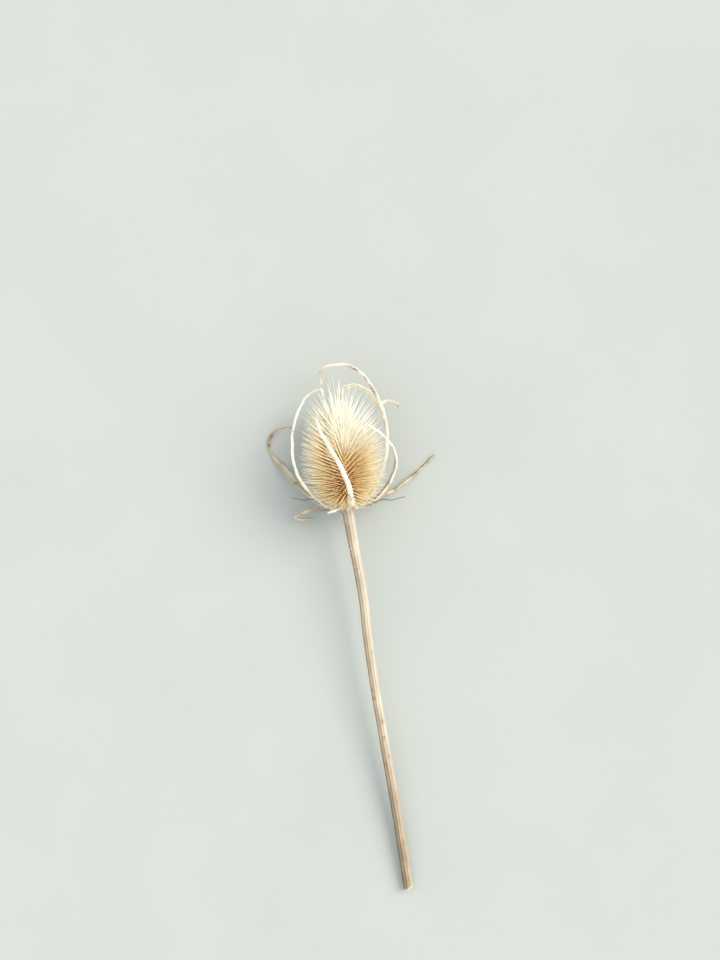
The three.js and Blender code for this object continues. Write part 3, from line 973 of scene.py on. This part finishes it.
def ruff() -> list[Bract]:
    """The twelve bracts, as they stand round the foot of the head.

    Returns:
        The bracts, from the one in front.
    """
    return [
        Bract(
            "bract_front", 73, 3.4,
            [
                (3.5, 2, 46.5), (2.3, 8, 51.2), (0, 15, 53.8), (-4.9, 25, 55), (-11, 35, 54.6),
                (-15, 42.5, 52.8), (-18, 51, 49),
            ],
            tan=0.0, thorns=16, pass_drop=-0.8, foot_shade_run=8,
            stains=(Stain(0.27, 0.03, 0.5), Stain(0.62, 0.02, 0.35)),
        ),
        Bract(
            "bract_left_arc", 166, 2.7,
            [
                (-18.8, 3.5, 28.8), (-24.7, 10, 32.3), (-29.3, 18, 34), (-31.6, 27, 34), (-32.2, 36.5, 33.5),
                (-31.2, 46, 33), (-28.2, 55.5, 32.8), (-24, 63, 34), (-18.5, 67, 37), (-15, 67.5, 41),
                (-13.5, 63.5, 45), (-13.8, 56.5, 48.4),
            ],
            tan=0.0, thorns=26, pass_drop=-1, foot_shade_run=27,
            stains=(Stain(0.55, 0.012, 0.4), Stain(0.95, 0.04, 0.5)),
        ),
        Bract(
            "bract_right_arc", 300, 3.0,
            [
                (14.8, 5, 4.6), (20.2, 15, 6.5), (23.4, 25, 10.6), (24.7, 33, 15.4), (24.6, 42.5, 20),
                (23.1, 52.3, 24), (18.8, 63.6, 27), (11.6, 75.4, 29), (2, 82.3, 30), (-8, 82.8, 31),
                (-13.8, 80.5, 31.5), (-16, 77, 32), (-15, 73.5, 33), (-14.5, 70.5, 34.5),
            ],
            tan=0.03, inner_painted_shade=0.3, thorns=30, foot_shade_run=48, fold=1.18, roll=-35,
            # the long, weak stain on the inner margin, at 0.62 with reach 0.2, is brown that is partly a real
            # mark and partly painted shade along the inner edge
            stains=(
                Stain(0.62, 0.2, 0.42, -1), Stain(0.48, 0.05, 0.35, -1), Stain(0.65, 0.03, 0.8, -1),
                Stain(0.71, 0.018, 0.6, -1), Stain(0.775, 0.02, 1.0, -1), Stain(0.8, 0.03, 0.5, -1),
                Stain(0.94, 0.045, 0.75),
            ),
        ),
        Bract(
            "bract_under", 262, 3.6,
            [
                (-3, 6.5, 1.7), (-2.4, 12, 0.55), (-2, 25, 0.5), (-2.4, 38.5, 0.6), (-3.6, 50.5, 2.8),
                (-4.3, 59.5, 8), (-4, 65.5, 14.5), (-1.5, 69.5, 19), (4, 71, 22), (9, 70, 23.5),
                (14, 66.5, 24.5), (17, 61.8, 24.2), (19.4, 57.4, 23), (20.6, 58.4, 21), (21.8, 60.6, 19.4),
                (24.2, 61.9, 18.8), (27.5, 61.5, 18.8), (30.3, 60.1, 19), (31.8, 58.2, 19.6),
                (30.4, 57.4, 20.8),
            ],
            # set near the palest tan, with little tan inside, so that the blade looks lit where it lies in
            # shade: painted light
            tan=-0.14, inner_painted_shade=0.08, thorns=20, fold=1.5,
            stains=(Stain(0.94, 0.04, 0.4), Stain(0.99, 0.01, 0.9)),
        ),
        Bract(
            "bract_right_hook", 350, 3.8,
            [
                (18.2, 2.6, 20.5), (24.2, 9.3, 22.8), (28.3, 17, 25.8), (30, 24.5, 28.2), (29.3, 30.4, 30.6),
                (26.8, 35.2, 33.8), (22.7, 39.8, 38.6), (17.6, 43.8, 43.8), (12.5, 46.7, 48),
            ],
            tan=0.1, tip_tan=0.02, inner_painted_shade=0.3, thorns=20, fold=1.2, roll=27, pass_drop=-1,
            taper=Taper.BROAD_HALF,
            stains=(Stain(0.33, 0.03, 0.3), Stain(0.79, 0.02, 0.3)),
        ),
        Bract(
            "bract_right_spread", 328, 3.0,
            [
                (22.6, 4.8, 14.5), (28.9, 7.6, 8.8), (35.6, 12.4, 4), (42.6, 17.8, 1), (49.6, 24.6, 0.7),
                (54.6, 29.6, 2.2),
            ],
            tan=0.52, thorns=14, fold=1.4, pass_drop=-1,
            stains=(
                Stain(0.31, 0.02, 0.4), Stain(0.45, 0.022, 0.7),
                Stain(0.73, 0.05, 0.5), Stain(0.89, 0.03, 0.5),
            ),
        ),
        Bract(
            "bract_left_hook", 200, 4.4,
            [
                (-20.8, 3.4, 14.5), (-25.8, 7.6, 12), (-33.2, 14.4, 7), (-40.2, 22.2, 2.6),
                (-45.7, 29.4, 0.5), (-47.6, 35.6, 0.5), (-46, 40.9, 1.6), (-42, 44.4, 3.8),
                (-36.8, 46.3, 6.8), (-31.8, 45.5, 9.8),
            ],
            tan=0.42, tip_tan=0.6, inner_painted_shade=0.1, thorns=22, fold=1.15, roll=-27, pass_drop=-1,
            taper=Taper.BROAD_HALF,
            stains=(
                Stain(0.356, 0.014, 0.8), Stain(0.55, 0.02, 0.25),
                Stain(0.716, 0.014, 1.0), Stain(0.755, 0.035, 0.5),
                Stain(0.795, 0.014, 0.7), Stain(0.99, 0.02, 0.8),
            ),
        ),
        Bract(
            "bract_low_left", 225, 4.4,
            [
                (-15.4, -2, 12.5), (-20.6, -4, 11.2), (-25.6, -5.9, 10), (-30.5, -8.4, 8.6),
                (-29.8, -9.9, 7.4), (-25.4, -10, 6.8), (-18.8, -9.4, 6.2),
            ],
            tan=0.55, thorns=9, fold=1.3, taper=Taper.BROAD_HALF,
            stains=(Stain(0.45, 0.05, 0.3), Stain(0.6, 0.05, 0.3), Stain(0.85, 0.06, 0.3)),
        ),
        Bract(
            "bract_low_front", 118, 2.4,
            [(-5.7, -3.8, 38), (-8.1, -5.1, 42), (-11.3, -6, 45)],
            tan=-0.1, thorns=5, foot_shade_run=8,
        ),
        Bract(
            "bract_spike_left", 181, 1.7,
            [(-20, 2, 23.2), (-25, 1.8, 23.2), (-30.2, 2.5, 23.6), (-33.8, 3.5, 24.2)],
            tan=1.0, thorns=0, fold=0.6,
        ),
        Bract(
            "bract_spike_low", 243, 1.7,
            [(-12.8, -4.2, 7.6), (-18.5, -5.4, 3.6)],
            tan=0.7, thorns=0,
        ),
        Bract(
            "bract_spike_right", 12, 1.7,
            [(20.5, 1.8, 25.6), (27, 1.9, 25.2), (32.4, 3.1, 25), (36.2, 4.1, 25.2)],
            tan=1.0, thorns=0, fold=0.6,
        ),
    ]


# The head


@dataclass
class SeedHead:
    """The egg-shaped core and the scales that cover it, each a keeled boat at its root that runs out into a
    straight awn. u is 0 at the foot of the core and 1 at its crown. Lengths in millimetres."""

    core_middle: float = 29.0
    core_half_length: float = 28.6
    core_radius: float = 13.5
    core_foot_radius: float = 5.4
    core_bottom: float = 0.35
    core_ends: tuple[float, float] = (0.1, 0.985)
    core_rings: int = 60
    core_corners: int = 64
    first_scale: float = 0.045
    last_scale: float = 0.998
    cell: float = 3.0
    awn: float = 13.4
    crown_awn: float = 5.0
    half_width: float = 0.8
    sunk: float = 2.5
    table_clear: float = 0.15
    bract_clear: float = 0.45
    bends: int = 8
    # the side that the painted light falls on, in degrees round the head's axis
    sunny_side: float = 50.0
    # a scale's rings: their shares of the way from the core to the tip, and their shares of its half-width
    ring_places: tuple[float, ...] = (0.0, 0.14, 0.3, 0.46, 0.64, 0.84)
    ring_widths: tuple[float, ...] = (1.0, 0.88, 0.56, 0.38, 0.28, 0.19)
    # its section: the keel down, the margins up, and a shallow channel above
    section: tuple[tuple[float, float], ...] = (
        (0, -0.62), (0.55, -0.28), (1.0, 0.16), (0, -0.1), (-1.0, 0.16), (-0.55, -0.28),
    )
    seed: int = 41

    def surface(self, up: np.ndarray) -> tuple[np.ndarray, np.ndarray]:
        """The core's reach from its axis, R sin(pi u^0.85)^0.8, and its height, middle - half length x
        cos(pi u)."""
        reach = self.core_radius * np.maximum(0, np.sin(math.pi * up**0.85)) ** 0.8
        return reach, self.core_middle - self.core_half_length * np.cos(math.pi * up)

    def core(self) -> Shape:
        """The core as rings round the axis, from its flat foot to its crown.

        Returns:
            The core, with the mark "bleach".
        """
        reach, height = self.surface(np.linspace(*self.core_ends, self.core_rings))
        reach = np.concatenate([[self.core_foot_radius], reach])[:, None]
        height = np.concatenate([[self.core_bottom], height])[:, None]
        turn = FULL_TURN * np.arange(self.core_corners) / self.core_corners
        rings = np.stack([reach * np.sin(turn), height + 0 * turn, reach * np.cos(turn)], axis=-1)
        up = np.clip((height - self.core_bottom) / (2 * self.core_half_length), 0, 1)
        return tube(LIE.from_head(rings), {"bleach": self.bleached(up, math.pi / 2 - turn)})

    def bleached(self, up: np.ndarray, around: np.ndarray) -> np.ndarray:
        """How pale the head is: u - 0.12, bleached towards the crown, plus painted light on the side towards
        the sun,
        0.34 facing^2 x step, where facing is 0.5 + 0.5 cos(angle to the sunny side) and step goes from 0 at u
        = 0.42 to 1 at u = 0.62."""
        # painted light: paler on the side towards the sun
        facing = 0.5 + 0.5 * np.cos(around - math.radians(self.sunny_side))
        return np.clip(up - 0.12 + 0.34 * facing**2 * np.clip((up - 0.42) / 0.2, 0, 1), 0, 1)

    def places(self) -> np.ndarray:
        """Where the scales sit: each has an equal share of the core's surface, a smaller one at the foot
        and a larger one towards the crown, so u is read back from the area below it, the sum of 2 pi x
        reach x slope x (1 + 5 e^(-(u / 0.11)^2)) / (1 + 4.5 u^6), a cell to a scale.

        Returns:
            The scales' u, from the lowest.
        """
        up = np.linspace(self.first_scale, self.last_scale, 4000)
        reach, height = self.surface(up)
        slant = np.hypot(np.gradient(reach, up), np.gradient(height, up))
        closer = (1 + 5 * bell(up, 0, 0.11)) / (1 + 4.5 * up**6)
        below = np.cumsum(FULL_TURN * np.maximum(reach, 1.6) * slant * closer) * (up[1] - up[0])
        area = below - below[0]
        return np.interp(np.arange(0, area[-1], self.cell), area, up)

    def cleared(self, feet: np.ndarray, tips: np.ndarray, spots: np.ndarray, reach: np.ndarray) -> np.ndarray:
        """Bends the tips until each scale clears the table and the bracts: away from the place it comes too
        near, by the missing distance over that place's share of the way along the scale. Then makes each as
        long as it was.

        Args:
            feet: where the scales leave the core.
            tips: their tips before bending.
            spots: places along the bracts.
            reach: how far the bract's margins reach there.

        Returns:
            The tips after bending.
        """
        lengths = np.linalg.norm(tips - feet, axis=1)
        row = np.arange(len(feet))
        for _ in range(self.bends):
            line = tips - feet
            share = np.einsum("nk,nmk->nm", line, spots[None] - feet[:, None]) / (line**2).sum(1)[:, None]
            share = np.clip(share, 0, 1)
            near = feet[:, None] + line[:, None] * share[..., None]
            away = near - spots
            short = reach + self.bract_clear - np.linalg.norm(away, axis=2)
            worst = short.argmax(1)
            push = away[row, worst]
            push[:, 2] = np.maximum(push[:, 2], 0)
            by = np.maximum(short[row, worst], 0) / np.maximum(share[row, worst], 0.5)
            tips = tips + unit(push) * by[:, None]
            tips[:, 2] = np.maximum(tips[:, 2], self.table_clear)
        line = tips - feet
        return feet + unit(line) * np.minimum(lengths, np.linalg.norm(line, axis=1))[:, None]

    def scales(self, bracts: list[Bract]) -> Shape:
        """The scales and their awns. Direction to the axis: 115 - 84 u - 31 u^3 degrees, and 44 (1 - u /
        0.22)^2 more below u = 0.22. Length: awn x (1 - e^(-u / 0.08)) + crown awn x u^4. The tips bend a
        little to the crown.

        Args:
            bracts: what the scales bend away from.

        Returns:
            The scales as one shape, with the marks "rise", "pick" and "bleach".
        """
        up = self.places()
        count = len(up)
        rng = np.random.default_rng(self.seed)
        around = np.arange(count) * GOLDEN_ANGLE
        reach, height = self.surface(up)
        radial = np.stack([np.cos(around), np.zeros(count), np.sin(around)], axis=1)
        lean = np.radians(115 - 84 * up - 31 * up**3 + 44 * np.maximum(0, 1 - up / 0.22) ** 2)
        ways = radial * np.sin(lean)[:, None] + np.array([0.0, 1.0, 0.0]) * np.cos(lean)[:, None]
        ways = unit(ways + rng.normal(0, 0.035, (count, 3)))
        lengths = self.awn * (1 - np.exp(-up / 0.08)) + self.crown_awn * up**4
        lengths = lengths * (1 + rng.normal(0, 1, count) * (0.04 + 0.12 * up**3))
        feet = LIE.from_head(radial * reach[:, None] + np.stack([0 * up, height, 0 * up], axis=1))
        tips = feet + (ways * lengths[:, None]) @ LIE.head_turn().T
        spots, spot_reach = (np.concatenate(each) for each in zip(*(b.reaches() for b in bracts)))
        tips = self.cleared(feet, tips, spots, spot_reach)
        ways = unit(tips - feet)
        axis = LIE.head_turn() @ np.array([0.0, 1.0, 0.0])
        sides = unit(np.cross(ways, axis + rng.normal(0, 0.12, (count, 3))))
        whole = np.linalg.norm(tips - feet, axis=1) + self.sunk
        width = self.half_width * np.clip(lengths / 13, 0.65, 1.0) * (1 - 0.55 * up**3)
        start = self.sunk / whole
        stations = np.empty((count, 1 + len(self.ring_places), 2))
        stations[:, 0] = np.stack([np.zeros(count), width * 0.9], axis=1)
        stations[:, 1:, 0] = start[:, None] + (1 - start)[:, None] * np.array(self.ring_places)
        stations[:, 1:, 1] = width[:, None] * np.array(self.ring_widths)
        bend = (axis * 0.5 + rng.normal(0, 0.35, (count, 3))) * (whole / 16)[:, None]
        marks = {"pick": rng.uniform(0, 1, count), "bleach": self.bleached(up, around)}
        roots = feet - ways * self.sunk
        return blades(roots, ways, sides, whole, np.array(self.section), stations, bend, marks)

    def build(
        self, bracts: list[Bract], scale: bpy.types.Material, wood: bpy.types.Material
    ) -> list[bpy.types.Object]:
        """Makes the core and the scales in the place of the CAD head.

        Args:
            bracts: the bracts round the head.
            scale: the scales' material.
            wood: the core's.

        Returns:
            The core and the scales, riding on the body.
        """
        core = self.core().made("seed_head_core", wood)
        scales = self.scales(bracts).made("seed_head_scales", scale)
        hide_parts("seed_head")
        for piece in (core, scales):
            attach(piece, BODY)
        return [core, scales]


# The stem


@dataclass
class Stem:
    """The cut stem: eight ribs, a collar below the head, a slanted cut with a hollow in the pith, prickles
    on the ribs and fine bristles below the head. Lengths in millimetres, angles in degrees but for those
    round the stem, which are in radians from the top."""

    path: tuple[tuple[float, float, float], ...] = (
        (38.4, -238, 2.6), (33.8, -208, 5), (29.2, -180, 7.6), (25, -156, 9.9), (21, -133, 12.1),
        (17.1, -110, 14.2), (14.3, -91, 16), (12.3, -76, 17.3), (11.2, -64, 18.3), (9.1, -50, 19.5),
        (6.3, -35, 20.9), (3.8, -21.5, 22.1), (2.3, -12.5, 22.9), (1.3, -6.4, 23.4), (0.2, -2.6, 23.77),
        (0, 0, 24),
    )
    # the distance below the head and the radius there
    radii: tuple[tuple[float, float], ...] = (
        (0, 6.2), (1.3, 5.8), (3, 4), (6, 3.2), (14, 2.9), (30, 2.6), (90, 2.45), (130, 2.45), (165, 2.6),
        (250, 2.7),
    )
    ribs: int = 8
    rib_depth: float = 0.09
    corners: int = 96
    rings: int = 330
    cut_slant: float = 20.0
    cut_back: float = 2.0
    cut_ease: float = 14.0
    pith_radius: float = 1.5
    pith_depth: float = 9.0
    # the hollow's rings, from its floor to its rim: the depth, and the share of the pith's radius
    hollow_rings: tuple[tuple[float, float], ...] = (
        (9.0, 0.35), (8.4, 0.75), (6.0, 0.85), (3.0, 0.95), (1.0, 1.0), (0.0, 1.05), (0.0, 1.3),
    )
    # the side that the painted light falls on, round the stem in radians
    sunny_side: float = 1.25
    lower_end: float = 110.0
    lower_ease: float = 60.0
    sun_wave: float = 45.0
    swell: float = 0.02
    swell_wave: float = 34.0
    thorns: int = 120
    bristles: int = 260
    hairs: int = 520
    # each spot: its share of the way up, where round the stem, its reach and its strength
    spots: tuple[tuple[float, float, float, float], ...] = (
        (0.08, 0.6, 0.02, 0.5), (0.13, 0.5, 0.006, 0.7), (0.334, -0.5, 0.005, 0.8), (0.352, 0.5, 0.004, 0.7),
        (0.402, 0.15, 0.004, 0.9), (0.443, 0.4, 0.006, 0.8), (0.504, -0.75, 0.005, 0.9),
        (0.524, -0.7, 0.004, 0.8), (0.62, 0.5, 0.004, 0.5), (0.832, -0.3, 0.004, 0.6),
    )
    spot_width: float = 0.4
    seed: int = 7

    def frames(self) -> Frames:
        """The line of the stem, from its cut end to the foot of the head."""
        return Frames.of(smooth_line(np.array(self.path, float), self.rings), np.array([0.0, 0.0, 1.0]))

    def radius(self, run: np.ndarray) -> np.ndarray:
        """Mean radius along the run, with a slow swell.

        Args:
            run: the distance along the stem at each ring.

        Returns:
            The radius at each ring.
        """
        knots = np.array(self.radii)
        swell = 1 + self.swell * wander(run, self.seed, self.swell_wave)
        return np.interp(run[-1] - run, knots[:, 0], knots[:, 1]) * swell

    def ridge(self, turn: np.ndarray) -> np.ndarray:
        """0 in the furrows to 1 on the ribs: half of 1 + cos(ribs x turn), to the power 0.8."""
        return (0.5 + 0.5 * np.cos(self.ribs * turn)) ** 0.8

    def bleached(self, frames: Frames, turn: np.ndarray) -> np.ndarray:
        """How pale the rind is: 0.24 + 0.41 facing^1.3 + 0.37 ridge x (0.3 + 0.7 facing), and up to 0.3 less
        at the
        lower end: paler on the ribs and, as painted light, much paler on the side towards the sun and browner
        on the side away from it. facing is 0.5 + 0.5 cos(angle to the sunny side), which wanders along the
        stem.

        Args:
            frames: the stem's.
            turn: where round the stem each corner is.

        Returns:
            The bleaching, rings x corners.
        """
        sunny = self.sunny_side + 0.35 * wander(frames.run, self.seed + 3, self.sun_wave)[:, None]
        # painted light: paler on the side towards the sun, browner away from it
        facing = 0.5 + 0.5 * np.cos(turn - sunny)
        lower = 0.3 * np.clip((self.lower_end - frames.run) / self.lower_ease, 0, 1)[:, None]
        ribs = 0.37 * self.ridge(turn) * (0.3 + 0.7 * facing)
        return np.clip(0.24 + 0.41 * facing**1.3 + ribs - lower, 0, 1)

    def rind(self) -> Shape:
        """Radius x (1 + depth x (2 ridge - 1) + fine flutes + unevenness), carried along the line. The flutes
        are 1.2% and 1% of the radius, five and three to a rib, and the unevenness is 3% and 2%, two and three
        times round. The first ring lies on the slanted cut, and before it come the rings of the hollow, from
        its floor out.

        Returns:
            The rind, with the marks of its finish.
        """
        frames = self.frames()
        turn = FULL_TURN * np.arange(self.corners) / self.corners
        run = frames.run[:, None]
        fine = 0.012 * np.cos(5 * self.ribs * turn + 1.1) + 0.01 * np.cos(3 * self.ribs * turn + run / 41)
        uneven = 0.03 * np.cos(2 * turn + run / 60) + 0.02 * np.cos(3 * turn - run / 37)
        relief = 1 + self.rib_depth * (2 * self.ridge(turn) - 1) + fine + uneven
        reach = self.radius(frames.run)[:, None] * relief
        side, out = reach * np.sin(turn), reach * np.cos(turn)
        moved = self.cut_slope(frames, side[:1], out[:1]) * np.clip(1 - run / self.cut_ease, 0, 1)
        hollow = self.hollow(frames, turn)
        rings = np.concatenate([hollow, frames.carry(side, out) + frames.along[:, None] * moved[..., None]])
        blank = np.zeros(hollow.shape[:2])
        rim = np.where(np.arange(len(reach)) < 1, 0.6, 0.0)[:, None]
        marks = {
            # the mark ridge carries the paler ribs and the painted light and shade of the stem's sides
            "ridge": np.concatenate([blank + 0.7, self.bleached(frames, turn)]),
            "across": np.broadcast_to(np.abs(np.arange(self.corners) / self.corners - 0.5), rings.shape[:2]),
            "along": np.concatenate([blank, np.broadcast_to(run, reach.shape)]),
            "stain": np.concatenate([blank, self.stained(frames.run, turn)]),
            "pith": np.concatenate([blank + 1, np.broadcast_to(rim, reach.shape)]),
        }
        return tube(rings, marks)

    def cut_slope(self, frames: Frames, side: np.ndarray, out: np.ndarray) -> np.ndarray:
        """How far each point of the end moves along the stem to lie on the slanted cut, which is the stem's
        square end turned round Z by the slant and moved up by cut_back.

        Args:
            frames: the stem's.
            side: the points' offsets to the side.
            out: their offsets outwards.

        Returns:
            The distances along the stem.
        """
        a = math.radians(self.cut_slant)
        about_z = np.array([[math.cos(a), -math.sin(a), 0], [math.sin(a), math.cos(a), 0], [0, 0, 1]])
        normal = about_z @ frames.along[0]
        square = frames.along[0] @ normal
        offset = frames.side[0] * side[..., None] + frames.out[0] * out[..., None]
        return (self.cut_back * square - offset @ normal) / square

    def hollow(self, frames: Frames, turn: np.ndarray) -> np.ndarray:
        """The rings of the hollow: its floor, its rough wall, and its rim in the cut.

        Args:
            frames: the stem's.
            turn: where round the stem each corner is.

        Returns:
            The points, rings x corners x 3.
        """
        depth, share = np.array(self.hollow_rings).T[..., None]
        reach = share * self.pith_radius * (1 + 0.06 * np.cos(5 * turn + depth) + 0.04 * np.cos(9 * turn))
        side, out = reach * np.sin(turn), reach * np.cos(turn)
        along = self.cut_slope(frames, side, out) * np.clip(1 - depth / self.pith_depth, 0, 1) + depth
        start = frames.at[0] + frames.side[0] * side[..., None] + frames.out[0] * out[..., None]
        return start + frames.along[0] * along[..., None]

    def stained(self, run: np.ndarray, turn: np.ndarray) -> np.ndarray:
        """Brown spots on the side that shows: a bell curve along the stem times one round it.

        Args:
            run: the distance along the stem at each ring.
            turn: where round the stem each corner is.

        Returns:
            The brown, rings x corners.
        """
        share = (run / run[-1])[:, None]
        total = np.zeros((len(run), len(turn)))
        for at, around, reach, strength in self.spots:
            off = np.angle(np.exp(1j * (turn - around)))
            total = total + strength * bell(share, at, reach) * bell(off, 0, self.spot_width)
        return np.clip(total, 0, 1)

    def thorn_rows(self) -> Shape:
        """Short prickles on the ribs, pointing out and down the stem, closer together towards the head.

        Returns:
            The prickles as one shape.
        """
        frames = self.frames()
        rng = np.random.default_rng(self.seed + 1)
        place = 0.03 + 0.93 * np.sort(rng.uniform(0, 1, self.thorns)) ** 0.85
        ring = np.round(place * (self.rings - 1)).astype(int)
        rib = FULL_TURN * rng.integers(0, self.ribs, self.thorns) / self.ribs
        lengths = rng.uniform(0.6, 1.7, self.thorns)
        return self.standing(frames, ring, rib, lengths, thick=0.36, slant=-0.35, seed=1)

    def bristle_collar(self) -> Shape:
        """Fine pale bristles on the collar and the neck below the head.

        Returns:
            The bristles as one shape.
        """
        frames = self.frames()
        rng = np.random.default_rng(self.seed + 2)
        below = rng.uniform(0.8, 15, self.bristles) * rng.uniform(0.3, 1, self.bristles)
        ring = np.searchsorted(frames.run, frames.run[-1] - below) - 1
        around = rng.uniform(0, FULL_TURN, self.bristles)
        lengths = rng.uniform(1.0, 2.3, self.bristles)
        return self.standing(frames, ring, around, lengths, thick=0.13, slant=-0.15, seed=2)

    def hair_rows(self) -> Shape:
        """Short fine hairs all down the stem.

        Returns:
            The hairs as one shape.
        """
        frames = self.frames()
        rng = np.random.default_rng(self.seed + 4)
        ring = rng.integers(8, self.rings - 12, self.hairs)
        around = rng.uniform(0, FULL_TURN, self.hairs)
        lengths = rng.uniform(0.6, 1.6, self.hairs)
        return self.standing(frames, ring, around, lengths, thick=0.14, slant=-0.3, seed=3)

    def standing(
        self,
        frames: Frames,
        ring: np.ndarray,
        turn: np.ndarray,
        lengths: np.ndarray,
        thick: float,
        slant: float,
        seed: int,
    ) -> Shape:
        """Thorns that stand on the rind.

        Args:
            frames: the stem's frames.
            ring: the frame that each stands at.
            turn: where round the stem.
            lengths: how far each stands out.
            thick: half-width at the root.
            slant: how far they point up the stem; negative is down.
            seed: for their differences.

        Returns:
            The thorns as one shape, without those that would reach the table.
        """
        rng = np.random.default_rng(self.seed + 10 * seed)
        out = frames.side[ring] * np.sin(turn)[:, None] + frames.out[ring] * np.cos(turn)[:, None]
        reach = self.radius(frames.run)[ring]
        roots = frames.at[ring] + out * (0.8 * reach)[:, None]
        ways = unit(out + frames.along[ring] * slant + rng.normal(0, 0.14, out.shape))
        whole = lengths + 0.25 * reach
        keep = (roots + ways * whole[:, None])[:, 2] > 0.2
        made = prickles(roots[keep], ways[keep], whole[keep], thick, ways[keep] * 0, self.seed + seed)
        made.marks["ridge"] = np.full(len(made.points), 0.95)
        return made

    def build(self, material: bpy.types.Material) -> bpy.types.Object:
        """Makes the stem in the place of its CAD node.

        Args:
            material: the rind's.

        Returns:
            The piece, riding on the body.
        """
        shape = Shape.joined([self.rind(), self.thorn_rows(), self.bristle_collar(), self.hair_rows()])
        piece = shape.made("stem_rind", material)
        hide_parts("stem")
        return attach(piece, BODY)


# The stage


@dataclass
class Studio:
    """The table, the light and the camera. Lengths in metres, but for camera_at, the sensor and the lens,
    which are in millimetres. Angles in degrees."""

    half_side: float = 2.5
    table_drop: float = 1e-4
    camera_height: float = 1.276
    camera_at: tuple[float, float] = (8.4, 13.8)
    lens: float = 78.0
    sensor: float = 36.0
    seen: tuple[float, float] = (0.05, 20.0)
    sky: str = "#f2f5f6"
    sky_strength: float = 1.65
    sun_height: float = 42.0
    sun_round: float = 28.0
    sun_width: float = 38.0
    sun_strength: float = 3.2
    sun_colour: str = "#fff6e6"

    def table(self, material: bpy.types.Material) -> bpy.types.Object:
        """The plain table under the plant.

        Args:
            material: the board's.

        Returns:
            The table top, a part of the stage.
        """
        corners = [(x * self.half_side, y * self.half_side) for x, y in ((-1, -1), (1, -1), (1, 1), (-1, 1))]
        mesh = bpy.data.meshes.new("table_top")
        mesh.from_pydata([(x, y, -self.table_drop) for x, y in corners], [], [(0, 1, 2, 3)])
        mesh.materials.append(material)
        board = bpy.data.objects.new("table_top", mesh)
        bpy.context.collection.objects.link(board)
        return board

    def light(self) -> None:
        """A low soft sun, as through a window at the upper right, and a bright even sky."""
        lamp = bpy.data.lights.new("window_light", "SUN")
        lamp.energy, lamp.color = self.sun_strength, linear(self.sun_colour)[:3]
        lamp.angle = math.radians(self.sun_width)
        holder = bpy.data.objects.new("window_light", lamp)
        holder.rotation_euler = (math.radians(90 - self.sun_height), 0.0, math.radians(90 + self.sun_round))
        bpy.context.collection.objects.link(holder)
        world = bpy.data.worlds.new("even_sky")
        world.use_nodes = True
        world.node_tree.nodes.clear()
        glow = add(world.node_tree, "Background", {"Color": self.sky, "Strength": self.sky_strength})
        add(world.node_tree, "OutputWorld", {"Surface": glow.outputs[0]})
        bpy.context.scene.world = world

    def camera(self) -> bpy.types.Object:
        """The camera, straight above, with the crown of the head towards the top of the picture.

        Returns:
            The camera, which the scene looks through.
        """
        made = bpy.data.objects.new("camera", bpy.data.cameras.new("camera"))
        x, y, _ = (np.array([*self.camera_at, 0.0]) + LIE.shift) * MM
        made.location = (x, y, self.camera_height)
        made.data.lens = self.lens
        made.data.sensor_width = self.sensor
        made.data.clip_start, made.data.clip_end = self.seen
        bpy.context.collection.objects.link(made)
        bpy.context.scene.camera = made
        return made


def triangles(piece: bpy.types.Object) -> int:
    """How many triangles a piece has."""
    piece.data.calc_loop_triangles()
    return len(piece.data.loop_triangles)


def main() -> None:
    """Builds the plant and its stage, and reports each piece."""
    logging.basicConfig(level=logging.INFO, format="%(message)s")
    bpy.context.scene.view_settings.view_transform = "Standard"
    studio = Studio()
    studio.camera()
    studio.light()
    studio.table(PaintedBoard().material())
    blade, bracts = BleachedBract().material(), ruff()
    pieces = [Stem().build(RibbedRind().material())]
    pieces += SeedHead().build(bracts, DryScale().material(), WoodyCore().material())
    pieces += [bract.build(blade) for bract in bracts]
    for piece in pieces:
        log.info("%s: %d triangles", piece.name, triangles(piece))


if __name__ == "__main__":
    main()
